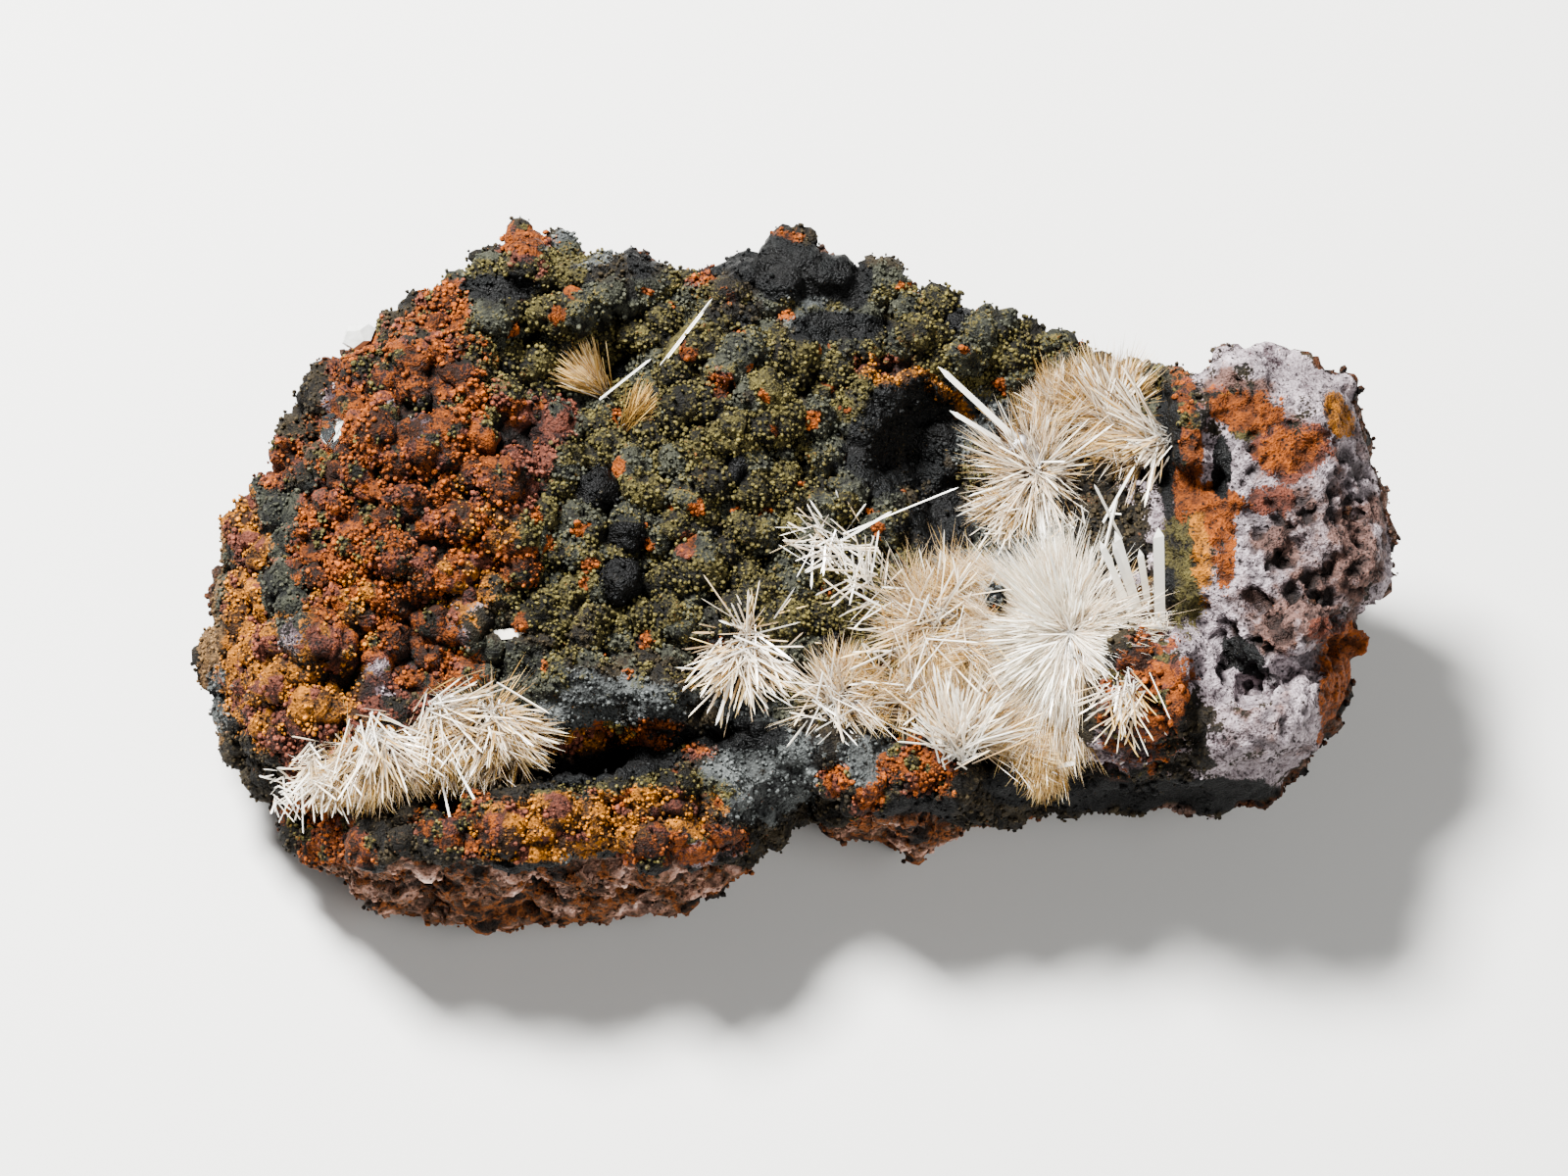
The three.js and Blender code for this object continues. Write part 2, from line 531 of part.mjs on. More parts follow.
// A ball squashed onto the rock, with corners drawn out to crystal tips, no two of them side by side.
function burrSolid({ root, bearing, reach, detail }, grow = 0) {
  const g = mergeVertices(bareGeometry(new THREE.IcosahedronGeometry(1, detail)), 1e-4);
  const { position } = g.attributes;
  const tips = new Set();
  const beside = Array.from({ length: position.count }, () => new Set());
  for (let k = 0; k < g.index.count; k += 3) {
    const corners = [0, 1, 2].map((c) => g.index.getX(k + c));
    corners.forEach((c) => corners.forEach((d) => beside[c].add(d)));
  }
  beside.forEach((near, k) => [...near].some((n) => tips.has(n)) || tips.add(k));
  const p = new THREE.Vector3();
  for (let k = 0; k < position.count; k++) {
    p.fromBufferAttribute(position, k);
    const facing = (THREE.MathUtils.radToDeg(Math.atan2(p.y, p.x)) + 360) % 360;
    const open = p.z > 0.85 || (facing >= bearing[0] && facing <= bearing[1]);
    const share = tips.has(k) && open ? mix(longShare, 1, chance(k, detail, 8)) : shortShare;
    p.multiplyScalar(reach * share + grow);
    position.setXYZ(k, p.x, p.y, p.z * fanHeight);
  }
  g.rotateX(Math.PI / 2 - THREE.MathUtils.degToRad(leanDeg));
  return solidOf(g.translate(...onTable(root, surfaceHeight(root)).toArray()));
}

function spraySolid({ fans: burrs, blades }, grow = 0) {
  const solids = [...burrs.map((f) => burrSolid(f, grow)), ...blades.map((b) => bladeSolid(b, grow))];
  return solids.reduce((a, b) => a.add(b));
}

function grainSolid({ at, size }) {
  const g = new THREE.DodecahedronGeometry(1).scale(...size).rotateX(0.5).rotateZ(0.4);
  return solidOf(g.translate(...onTable(at, surfaceHeight(at) + size[2] * 0.6).toArray()));
}

const finishes = {
  gossan: { color: '#6b5a3c', roughness: 0.95, metalness: 0 },
  scholzite: { color: '#e8dcc2', roughness: 0.35, metalness: 0 },
  quartz: { color: '#dfe0da', roughness: 0.3, metalness: 0 },
};

function named(name, solid, finish) {
  const mesh = new THREE.Mesh(geometryOfSolid(solid), new THREE.MeshStandardMaterial(finish));
  mesh.name = name;
  return mesh;
}

const lump = rock();
const cutter = solidOf(grown(geometryOfSolid(lump), crystalGap));

// The largest piece of a solid that is left clear of the rock and of what is cut with it.
function seated(solid, others = null) {
  const clear = others ? solid.subtract(cutter).subtract(others) : solid.subtract(cutter);
  return clear.simplify(crystalTolerance).decompose().sort((a, b) => b.volume() - a.volume())[0];
}

const specimen = new THREE.Group();
specimen.add(named('gossan_matrix', lump, finishes.gossan));
let taken = null;
for (const [name, spray] of Object.entries(sprays)) {
  specimen.add(named(name, seated(spraySolid(spray), taken), finishes.scholzite));
  const room = spraySolid(spray, crystalGap);
  taken = taken ? taken.add(room) : room;
}
for (const [name, crystal] of Object.entries(loose))
  specimen.add(named(name, seated(bladeSolid(crystal)), finishes.scholzite));
for (const [name, grain] of Object.entries(grains))
  specimen.add(named(name, seated(grainSolid(grain)), finishes.quartz));

export default specimen;
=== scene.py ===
import math

import bpy
import numpy as np
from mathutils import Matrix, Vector, noise
from mathutils.bvhtree import BVHTree
from mathutils.kdtree import KDTree


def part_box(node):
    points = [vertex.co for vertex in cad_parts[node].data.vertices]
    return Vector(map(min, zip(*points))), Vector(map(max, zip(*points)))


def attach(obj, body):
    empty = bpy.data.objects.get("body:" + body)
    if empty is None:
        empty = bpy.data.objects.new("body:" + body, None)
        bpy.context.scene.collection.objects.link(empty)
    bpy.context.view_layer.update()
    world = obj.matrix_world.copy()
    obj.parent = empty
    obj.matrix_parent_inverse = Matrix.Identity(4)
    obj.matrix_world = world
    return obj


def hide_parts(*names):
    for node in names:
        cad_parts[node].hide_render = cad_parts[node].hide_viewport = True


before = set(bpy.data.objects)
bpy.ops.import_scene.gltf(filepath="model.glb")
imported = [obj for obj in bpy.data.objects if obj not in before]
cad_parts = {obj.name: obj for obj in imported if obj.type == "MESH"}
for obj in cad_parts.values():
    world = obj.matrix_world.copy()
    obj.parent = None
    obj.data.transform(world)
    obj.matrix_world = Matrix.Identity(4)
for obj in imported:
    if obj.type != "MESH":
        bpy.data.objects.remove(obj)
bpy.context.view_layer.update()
dice = np.random.default_rng(11)
mm = 0.001

# The crystal side is laid out in mm: u across it and v up it, seen square on from this elevation.
side = {"elevation": 60.0, "middleY": 8.9}
sinE = math.sin(math.radians(side["elevation"]))
cosE = math.cos(math.radians(side["elevation"]))
upSide = np.array([0, sinE, cosE])
offSide = np.array([0, -cosE, sinE])


def srgb(colour):
    parts = [int(colour[i : i + 2], 16) / 255 for i in (1, 3, 5)]
    return tuple(c / 12.92 if c <= 0.04045 else ((c + 0.055) / 1.055) ** 2.4 for c in parts) + (1.0,)


def addNode(tree, kind, inputs=None, **settings):
    node = tree.nodes.new("ShaderNode" + kind)
    for name, value in settings.items():
        setattr(node, name, value)
    for socket, value in (inputs or {}).items():
        if isinstance(value, bpy.types.NodeSocket):
            tree.links.new(value, node.inputs[socket])
        else:
            node.inputs[socket].default_value = value
    return node


def attributeOf(tree, name):
    return addNode(tree, "Attribute", attribute_name=name).outputs["Fac"]


def noiseOf(tree, place, size, detail):
    # noise with lumps about this wide, in mm
    scale = 1 / (size * mm)
    return addNode(tree, "TexNoise", {"Vector": place, "Scale": scale, "Detail": detail}).outputs["Fac"]


def mathOf(tree, operation, *values):
    return addNode(tree, "Math", dict(enumerate(values)), operation=operation).outputs[0]


def stretched(tree, value, low, high, least=0.0, most=1.0):
    span = {"Value": value, "From Min": low, "From Max": high, "To Min": least, "To Max": most}
    return addNode(tree, "MapRange", span).outputs[0]


def mixed(tree, part, under, over, **settings):
    return addNode(tree, "Mix", {0: part, 6: under, 7: over}, data_type="RGBA", **settings).outputs[2]


def newMaterial(name):
    material = bpy.data.materials.new(name)
    material.use_nodes = True
    tree = material.node_tree
    return material, tree, tree.nodes["Principled BSDF"]


def smoothStep(value, low, high):
    t = np.clip((value - low) / (high - low), 0, 1)
    return t * t * (3 - 2 * t)


def pointsOf(piece, what="co"):
    values = np.empty(len(piece.data.vertices) * 3)
    piece.data.vertices.foreach_get(what, values)
    return values.reshape(-1, 3)


def onSide(points):
    # u and v in mm of points in metres
    moved = points / mm - [0, side["middleY"], 0]
    return moved[:, 0], moved @ upSide


def setAttribute(piece, name, values):
    layer = piece.data.attributes.new(name, "FLOAT", "POINT")
    layer.data.foreach_set("value", np.ascontiguousarray(values, dtype=np.float32))


def pieceFromArrays(name, points, faces, attributes, material):
    mesh = bpy.data.meshes.new(name)
    mesh.from_pydata(points.tolist(), [], faces.tolist())
    piece = bpy.data.objects.new(name, mesh)
    bpy.context.scene.collection.objects.link(piece)
    for key, values in attributes.items():
        setAttribute(piece, key, values)
    mesh.materials.append(material)
    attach(piece, "root")
    return piece


def selectOnly(piece):
    bpy.ops.object.select_all(action="DESELECT")
    piece.select_set(True)
    bpy.context.view_layer.objects.active = piece


def copyNode(name, newName):
    # a merged copy of a CAD node, which itself stays as packed
    selectOnly(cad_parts[name])
    bpy.ops.object.duplicate()
    piece = bpy.context.object
    piece.name = newName
    piece.data.name = newName
    piece.data.materials.clear()
    bpy.ops.object.mode_set(mode="EDIT")
    bpy.ops.mesh.select_all(action="SELECT")
    bpy.ops.mesh.remove_doubles(threshold=0.002 * mm)
    bpy.ops.object.mode_set(mode="OBJECT")
    return piece


# Where each mineral shows on the crystal side, in mm: u, v, half-width, half-height, turn in degrees.
minerals = {
    "olive": [
        (-8, 8, 21, 14, 0), (16, 17, 13, 4, -18), (-20, 20, 8, 5, 0), (-12, -16, 6, 2, 0),
        (28.7, 0.4, 1.8, 4.2, 0), (33.4, 11, 1.2, 1, 0), (2, -4, 6, 6, 0),
    ],
    "greyGreen": [
        (-39, 0.6, 4.5, 6.5, 0), (-35, 4, 3, 4, 0), (-10, 19, 5, 4, 0), (8, 20, 6, 3, -20),
        (2, 14, 7, 6, 0), (-22, -7, 5, 2.5, 0), (24, 16, 4, 2, -10), (3, 0, 5, 4, 0), (-2, -2, 5, 4, 0),
    ],
    "slate": [
        (-42.6, -9, 1.8, 2.3, 0), (-14.6, -9.2, 7.5, 2.2, -4), (-1.9, -14.2, 5, 3.4, 0),
        (-14.6, -20.4, 3, 1.3, 0), (-16.4, 24.2, 3.4, 2, 0), (-28, -15, 6, 1.6, 10), (2, 20.5, 5, 3, 0),
        (12, 12, 5, 4, 0), (6, -13.5, 3, 2, 0), (-3, -8.5, 3, 3, 0), (14.5, 1.5, 5, 4, 0),
    ],
    "ochre": [
        (-36.1, -9.2, 6.5, 4.8, -20), (-41.8, 4, 1.8, 4, 30), (-33, -2, 3, 3, 0), (-16, -18.3, 8, 2.2, 5),
        (-41, -4, 1.6, 6, 8), (-9.5, -17.4, 3.5, 1.8, 0), (-24, 3, 3, 6, 0), (-14, -12.6, 4, 1.2, 0),
        (30.2, 1.8, 1.1, 3.6, 0), (40.2, 12, 1.1, 1.8, 30), (32.2, 12.6, 1.6, 1.2, 0),
        (9, 14, 5, 1.3, -25), (-31, -12, 4, 2, -30),
    ],
    "rust": [
        (-28.4, 10, 7, 9, 10), (-32.5, 2.5, 4.5, 6, 0), (-27.4, 13.3, 2.6, 1.8, 0),
        (-26.6, 20.2, 2, 2.4, 0), (-20.6, 25.4, 2.4, 1.2, 0), (-29.9, -2.5, 4, 4, 0),
        (-27, -6.5, 3.5, 2.5, 0), (-24.8, -18.3, 3.4, 2.2, 0), (-6.6, 23, 1.6, 0.9, 30),
        (-0.6, 25.4, 1.4, 0.7, 0), (8.7, 21.6, 1, 0.6, 0), (-10, -12.2, 4.5, 1.5, -5),
        (2.8, -15.1, 1.3, 1.3, 0), (5.7, -17, 1.7, 1.5, 0), (8.9, -14, 3, 2.8, 0), (28.6, 10, 1.5, 5, 0),
        (33.4, 12.2, 3.2, 1.6, -10), (40.6, -11, 1.7, 6.6, 8), (41.8, -4.9, 1.5, 1.6, 0),
        (25.8, -9.2, 2.9, 5, -8), (-35, -19.5, 4, 2.6, -30), (-20.4, 0.9, 1.5, 1.4, 0),
        (-5.5, 13.9, 1, 1, 0), (-5.2, 20.7, 1, 0.9, 0), (-8.1, 2.4, 0.8, 1.2, 0), (-5.5, -5.2, 1, 0.8, 0),
        (-21.5, 6.6, 1.4, 1.4, 0), (-38.5, 8.5, 2, 2, 0), (23.8, -15.8, 1.4, 1, 0), (-8, -20, 4, 1.4, 10),
        (31.4, 2.6, 1.1, 3.8, 0), (36.6, 9.6, 2.2, 1.6, 30), (31, 5.6, 2.6, 0.9, -10),
    ],
    "brick": [
        (-30, 7, 4.5, 4, 0), (-26, 3, 3, 3, 0), (-19.9, 23.4, 1.3, 1.3, 0), (-22, 9, 3.5, 4.5, 0),
        (-18, 12, 2, 2, 0), (-33, -5, 3, 2, 0), (36.8, 9.6, 2.6, 2.4, 0), (-29, -8.5, 3.5, 2.5, 0),
        (40.5, -8, 1.4, 3, 0), (-36, -13.5, 3.4, 2, -30), (35, 5.5, 1.6, 1.2, 0), (39.8, -4, 2, 1.2, 0),
    ],
    "lilac": [
        (36.8, 0, 10, 17.5, 0), (-36.5, -4.6, 2.3, 2.2, 0), (-8, -19.8, 3.4, 1.6, 0),
        (-24, -23.8, 7, 2.2, 0), (-28, 11, 3, 5, 0), (-27, -5, 3, 2, 0), (-10, -24.4, 6, 1.4, 0),
        (24.5, -12.6, 2.4, 1.8, 0), (-30, -7.5, 2.4, 1.8, 0), (-34, 13, 1.4, 1.6, 0),
        (-24, -1.4, 1.6, 1.4, 0), (-29, 15.5, 1.6, 1.2, 0),
    ],
    "oxide": [
        (-21.9, 21.6, 2.6, 1.1, 0), (-0.8, 23.1, 5.4, 2.2, -12), (8, 10, 4.6, 4.4, 0),
        (10.5, 4.2, 2.6, 2.8, 0), (-11.5, 24, 1.6, 1.8, 0), (4.5, 22, 1.5, 2, 0), (3, 18.6, 4, 1.2, 0),
        (27.7, 9.7, 0.7, 5, 0), (28, -16.4, 10, 1.3, 0), (-14, -14, 6.5, 1, 8), (18, -15.6, 4, 1.2, 0),
        (9, -17.5, 3, 1.5, 0), (31.6, 8.6, 0.6, 2.4, 0), (33, -6, 2, 1, -50), (-19.5, -21.6, 12, 0.5, 0),
        (-5, -11.8, 5, 1, 0),
    ],
    "tan": [(-43.8, -1.2, 1.5, 7, 0), (-43.6, -8, 1.2, 4, 0)],
    "stain": [
        (39, 1.5, 4.5, 6.5, 0), (36.5, 9, 3.4, 3, 0), (34, -3, 3.5, 2, -40), (33, 13, 3, 2, 0),
        (40.5, -8, 2, 4, 0),
    ],
}


def patchMask(u, v, patches):
    mask = np.zeros(len(u))
    for pu, pv, halfU, halfV, turn in patches:
        c, s = math.cos(math.radians(turn)), math.sin(math.radians(turn))
        across = ((u - pu) * c + (v - pv) * s) / halfU
        along = ((v - pv) * c - (u - pu) * s) / halfV
        mask = np.maximum(mask, 1 - smoothStep(np.hypot(across, along), 0.55, 1.45))
    return mask


# The crust stays low where a small crystal is seated on it.
seats = [
    (-34.3, 10.7, 1.3, 1.5, 0), (-32.7, 17.8, 1.9, 1.6, 0), (-21.2, -4.3, 1.9, 0.8, 0),
    (-8.2, 18.0, 3.6, 0.8, 52),
]

# Open holes are only in the middle of the lilac block. Elsewhere its pores are fine.
stoneHoles = [(38, 1, 5.5, 8, 0), (33, -6.5, 3, 3, -40), (41, 7, 2.5, 3, 0), (33.6, 8, 1.2, 3, 0)]

# The lump: a fine skin remeshed over the CAD solid, then grown into clusters, pores and layers.
gossan = {
    "skin": 0.33,  # mm between points
    "triangles": 196000,
    "clusters": {"spacing": 2.2, "radius": (1.0, 1.85), "height": 1.3, "sink": 0.95},
    "knobs": {"spacing": 0.95, "radius": (0.5, 0.85), "height": 0.9, "sink": 0.25},
    "holes": {"spacing": 2.1, "radius": (0.3, 0.9), "height": -1.3, "sink": 0},
    "pores": {"spacing": 1.05, "radius": (0.2, 0.45), "height": -0.9, "sink": 0},
    "blocks": {"spacing": 4.5, "radius": (2.5, 4.5), "height": 0.5, "sink": 1.9},
    "lumps": {"spacing": 1.3, "radius": (0.5, 1.4), "height": 0.55, "sink": 0.5},
    "roughness": {"size": 3.0, "height": 1.6, "detail": 4},
    "grit": {"size": 0.8, "height": 0.5, "detail": 2},
    "layers": {"top": -20.6, "rightTop": -17.4, "spacing": 0.8, "height": 0.8, "count": 60},
}


def roughen(piece, d, where):
    texture = bpy.data.textures.new("clouds", type="CLOUDS")
    texture.noise_scale = d["size"] * mm
    texture.noise_depth = d["detail"]
    group = piece.vertex_groups.new(name="where")
    level = np.round(where, 1)
    for strength in np.unique(level[level > 0]):
        group.add(np.flatnonzero(level == strength).tolist(), float(strength), "REPLACE")
    modifier = piece.modifiers.new("relief", "DISPLACE")
    modifier.texture = texture
    modifier.texture_coords = "LOCAL"
    modifier.strength = d["height"] * mm
    modifier.mid_level = 0.5
    modifier.vertex_group = "where"
    bpy.ops.object.modifier_apply(modifier="relief")
    piece.vertex_groups.clear()


def pushOut(piece, amounts):
    moved = pointsOf(piece) + pointsOf(piece, "normal") * amounts[:, None] * mm
    piece.data.vertices.foreach_set("co", moved.ravel())
    piece.data.update()


def scatter(candidates, points, spacing, most=None):
    # one candidate for each cell of a grid this wide, in mm
    taken, kept = set(), []
    cells = np.floor(points / (spacing * mm)).astype(int)
    for k in dice.permutation(candidates):
        cell = tuple(cells[k])
        if cell not in taken:
            taken.add(cell)
            kept.append(k)
        if len(kept) == most:
            break
    return np.array(kept)


def growBalls(piece, d, where):
    # swells the surface into the union of balls, or eats holes into it where the height is negative
    points = pointsOf(piece)
    centres = scatter(np.flatnonzero(where > 0.4), points, d["spacing"])
    radius = dice.uniform(*d["radius"], len(centres)) * mm
    tones = dice.uniform(0, 1, len(centres))
    finder = KDTree(len(centres))
    for k, centre in enumerate(points[centres]):
        finder.insert(centre, k)
    finder.balance()
    rise, tone = np.zeros(len(points)), np.full(len(points), 0.5)
    for i in np.flatnonzero(where > 0.02):
        for _, k, distance in finder.find_n(points[i], 3):
            height = radius[k] ** 2 - distance**2
            if height > rise[i]:
                rise[i], tone[i] = height, tones[k]
    share = np.sqrt(rise) / (np.mean(d["radius"]) * mm)
    pushOut(piece, (np.sqrt(rise) / mm * d["height"] - d["sink"]) * where)
    return np.clip(share, 0, 1), tone


def crumble(points, size):
    return np.array([noise.noise(Vector(p)) for p in points / (size * mm)])


def mingle(masks, clump, tint):
    # knobs of one mineral stray into the field of another
    field, dome = masks["olive"], np.maximum(masks["rust"], masks["ochre"])
    grey, green, brick = clump > 0.7, tint < 0.2, tint > 0.72
    masks["olive"] = np.maximum(field * np.where(grey, 0.3, 1), dome * green)
    masks["greyGreen"] = np.maximum(masks["greyGreen"], field * grey)
    masks["rust"] = masks["rust"] * np.where(green, 0.2, np.where(brick, 0.45, 1))
    masks["brick"] = np.maximum(masks["brick"] * np.where(green, 0.2, 1), dome * brick)
    masks["rust"] = np.maximum(masks["rust"], field * (tint > 0.97))
    masks["oxide"] = np.maximum(masks["oxide"], field * (clump < 0.05))


def buildLump(material):
    piece = copyNode("gossan_matrix", "gossanLump")
    modifier = piece.modifiers.new("skin", "REMESH")
    modifier.mode = "VOXEL"
    modifier.voxel_size = gossan["skin"] * mm
    bpy.ops.object.modifier_apply(modifier="skin")

    # the underside and the broken sides can be coarser than the crystal side
    group = piece.vertex_groups.new(name="coarse")
    away = smoothStep(-(pointsOf(piece, "normal") @ offSide), -0.2, 0.3)
    for strength in (0.5, 1.0):
        group.add(np.flatnonzero(np.round(away * 2) / 2 == strength).tolist(), strength, "REPLACE")
    modifier = piece.modifiers.new("thin", "DECIMATE")
    modifier.ratio = gossan["triangles"] / (2 * len(piece.data.polygons))
    modifier.vertex_group = "coarse"
    modifier.vertex_group_factor = 3
    bpy.ops.object.modifier_apply(modifier="thin")
    piece.vertex_groups.clear()

    points = pointsOf(piece)
    u, v = onSide(points)
    z = points[:, 2] / mm
    normals = pointsOf(piece, "normal")
    facing = smoothStep(normals @ offSide, -0.05, 0.35)
    wall = smoothStep(gossan["layers"]["top"] - v, 0, 0.9) * smoothStep(-u, -3, 1)
    rightWall = smoothStep(gossan["layers"]["rightTop"] - v, 0, 0.9) * smoothStep(u, 0, 3)
    wall = np.maximum(wall, rightWall)
    stone = patchMask(u, v, minerals["lilac"][:1]) * facing
    smooth = np.max([patchMask(u, v, minerals[m]) for m in ("slate", "oxide", "tan")], axis=0) * 0.6
    crusted = np.clip(facing * (1 - stone) * (1 - wall), 0, 1) * (1 - patchMask(u, v, seats))
    bubbly = crusted * (1 - smooth)
    broken = np.clip(1 - facing, 0, 1) * smoothStep(z, 0.1, 1.5)

    cluster, clump = growBalls(piece, gossan["clusters"], bubbly)
    knob, tint = growBalls(piece, gossan["knobs"], bubbly)
    holed = stone * patchMask(u, v, stoneHoles)
    hole, _ = growBalls(piece, gossan["holes"], holed)
    pore, _ = growBalls(piece, gossan["pores"], np.maximum(stone, wall * 0.8))
    rough = np.maximum(broken, wall * smoothStep(z, 0.1, 1.5))
    growBalls(piece, gossan["blocks"], rough)
    growBalls(piece, gossan["lumps"], rough)
    roughen(piece, gossan["roughness"], rough)
    roughen(piece, gossan["grit"], smoothStep(z, 0.1, 1.0))

    # ledges and grooves of the layered wall under the ochre ledge
    d = gossan["layers"]
    layered = np.clip(wall + broken * 0.5, 0, 1)
    wave = z + 0.4 * np.sin(u * 0.45) + 0.25 * np.sin(u * 1.3 + 1)
    steps = dice.uniform(-1, 0.7, d["count"])
    layer = np.interp(wave / d["spacing"], np.arange(d["count"]), steps)
    layer = layer + 0.8 * crumble(points, 2.0)
    pushOut(piece, d["height"] * layer * layered * smoothStep(z, 0.2, 1.2))

    after = pointsOf(piece)
    after[:, 2] = np.maximum(after[:, 2], 0)
    piece.data.vertices.foreach_set("co", after.ravel())
    bpy.ops.object.shade_smooth()

    u, v = onSide(after)
    ragged = 0.6 * crumble(points, 4.5) + 0.55 * crumble(points, 1.5)
    ragged += 0.3 * (clump - 0.5) + 0.3 * (tint - 0.5)
    masks = {}
    for name, patches in minerals.items():
        patch = patchMask(u, v, patches) * facing
        masks[name] = np.clip(patch * 1.08 + smoothStep(patch, 0, 0.25) * ragged, 0, 1)
    mingle(masks, clump, tint)
    masks["broken"] = np.maximum(1 - facing, wall)
    # painted light: the layered wall, which the key light hardly reaches, is marked for brightening
    masks["paintedWallLight"] = wall
    # painted shade: the skin is darkened between clusters and knobs, in the holes and pores of the lilac
    # rock and the wall, and in the wall's grooves
    between = np.maximum(1 - smoothStep(cluster, 0.0, 0.75), 0.9 * (1 - smoothStep(knob, 0.0, 0.8)))
    finePit = np.maximum(stone, wall) * 0.8 * smoothStep(pore, 0.1, 0.8)
    pit = np.maximum(holed * smoothStep(hole, 0.1, 0.7), finePit)
    groove = layered * smoothStep(-layer, 0.3, 1) * 0.55
    masks["hollow"] = np.clip(np.maximum(bubbly * between, pit) + groove, 0, 1)
    masks["clump"] = clump
    # the tone of the skin is lowered under the crust, painted shade in the gaps between beads
    masks["tone"] = 0.15 + 0.3 * tint - 0.25 * bubbly
    masks["crusted"] = crusted
    masks["crumbly"] = np.maximum(rough, crusted * smoothStep(u, 21, 23) * 0.8)
    for name, values in masks.items():
        setAttribute(piece, name, values)
    piece.data.materials.append(material)
    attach(piece, "root")
    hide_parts("gossan_matrix")
    print("lump:", len(piece.data.polygons), "faces")
    return piece, masks


# Grains: beads 0.2 to 0.7 mm across, the largest on the broken sides and the right block.
# Seat is how far a bead stands out of the skin, as a share of its radius.
grains = {
    "olive": {
        "spacing": 0.35, "radius": (0.1, 0.22), "most": 9900, "seat": 0.35,
        "on": ("olive",), "not": ("rust", "brick", "crumbly"),
    },
    "dull": {
        "spacing": 0.38, "radius": (0.09, 0.21), "most": 9400, "seat": 0.35,
        "on": ("crusted",), "not": ("olive", "rust", "brick", "crumbly"),
    },
    "rusty": {
        "spacing": 0.31, "radius": (0.08, 0.28), "most": 7600, "seat": 0.35,
        "on": ("rust", "brick"), "not": ("crumbly",),
    },
    "crumb": {
        "spacing": 0.6, "radius": (0.1, 0.34), "most": 6800, "seat": 0.05,
        "on": ("crumbly",), "not": (),
    },
}
grainShift = 0.12  # mm to any side of its place


def beadShape():
    # an icosahedron, modelled once and copied
    bpy.ops.mesh.primitive_ico_sphere_add(subdivisions=1, radius=1, location=(0, 0, 0))
    bead = bpy.context.object
    points = pointsOf(bead)
    faces = np.array([list(p.vertices) for p in bead.data.polygons])
    bpy.data.objects.remove(bead)
    return points, faces


def buildGrains(lump, masks, material):
    shape, shapeFaces = beadShape()
    points = pointsOf(lump)
    normals = pointsOf(lump, "normal")
    bare = 1 - 0.8 * np.max([masks[m] for m in ("oxide", "lilac")], axis=0)
    held = np.maximum(masks["crusted"], masks["crumbly"])
    for name, d in grains.items():
        strength = np.max([masks[m] for m in d["on"]], axis=0) * bare * held
        for other in d["not"]:
            strength = strength * (1 - masks[other])
        if name == "rusty":
            strength = strength * smoothStep(crumble(points, 2.6), -0.3, 0.15)
        chosen = np.flatnonzero(strength * (1.15 - masks["hollow"]) > dice.uniform(0.1, 0.5, len(points)))
        kept = scatter(chosen, points, d["spacing"], d["most"])
        count = len(kept)
        least, largest = d["radius"]
        radius = (least + (largest - least) * dice.uniform(0, 1, count) ** 1.6) * mm
        centre = points[kept] + normals[kept] * radius[:, None] * d["seat"]
        centre += dice.uniform(-grainShift, grainShift, (count, 3)) * mm
        uneven = dice.uniform(0.75, 1.25, (count, 1, 3)) * dice.uniform(0.75, 1.2, (count, len(shape), 1))
        beads = centre[:, None] + shape[None] * radius[:, None, None] * uneven
        beads[:, :, 2] = np.maximum(beads[:, :, 2], 0)
        faces = shapeFaces[None] + (np.arange(count) * len(shape))[:, None, None]
        attributes = {key: np.repeat(values[kept], len(shape)) for key, values in masks.items()}
        attributes["tone"] = np.repeat(dice.uniform(0.25, 1, count), len(shape))
        # painted shade: each bead is darker on its sides and underside the more they turn away from the
        # skin, and it takes on the skin's painted shade
        outward = (shape[None] * normals[kept][:, None]).sum(2)
        foot = 0.9 * (1 - smoothStep(outward, -0.4, 0.8))
        attributes["hollow"] = np.maximum(foot, 0.85 * masks["hollow"][kept][:, None]).ravel()
        corners, faces = beads.reshape(-1, 3), faces.reshape(-1, 3)
        piece = pieceFromArrays(name + "Grains", corners, faces, attributes, material)
        piece.data.shade_smooth()
        print(piece.name + ":", count, "beads")


# Gossan: iron oxides and clays, matt and gritty. Each mineral breaks into its neighbours along ragged edges.
crust = {
    "olive": ("#070602", "#6e6433"),
    "greyGreen": ("#090a08", "#4a4b3c"),
    "slate": ("#0a0b0b", "#686c6a"),
    "ochre": ("#221103", "#d8830f"),
    "rust": ("#190801", "#a8520c"),
    "brick": ("#150806", "#7d4330"),
    "lilac": ("#3a2d30", "#e0d0d6"),
    "stain": ("#0d0705", "#764a34"),
    "oxide": ("#010101", "#0b0d0d"),
    "tan": ("#281a0c", "#8a683e"),
    "ground": ("#090704", "#3f3522"),
    # near black, the colour of the painted shade in gaps, holes, pores and grooves
    "hollow": "#050403",
}


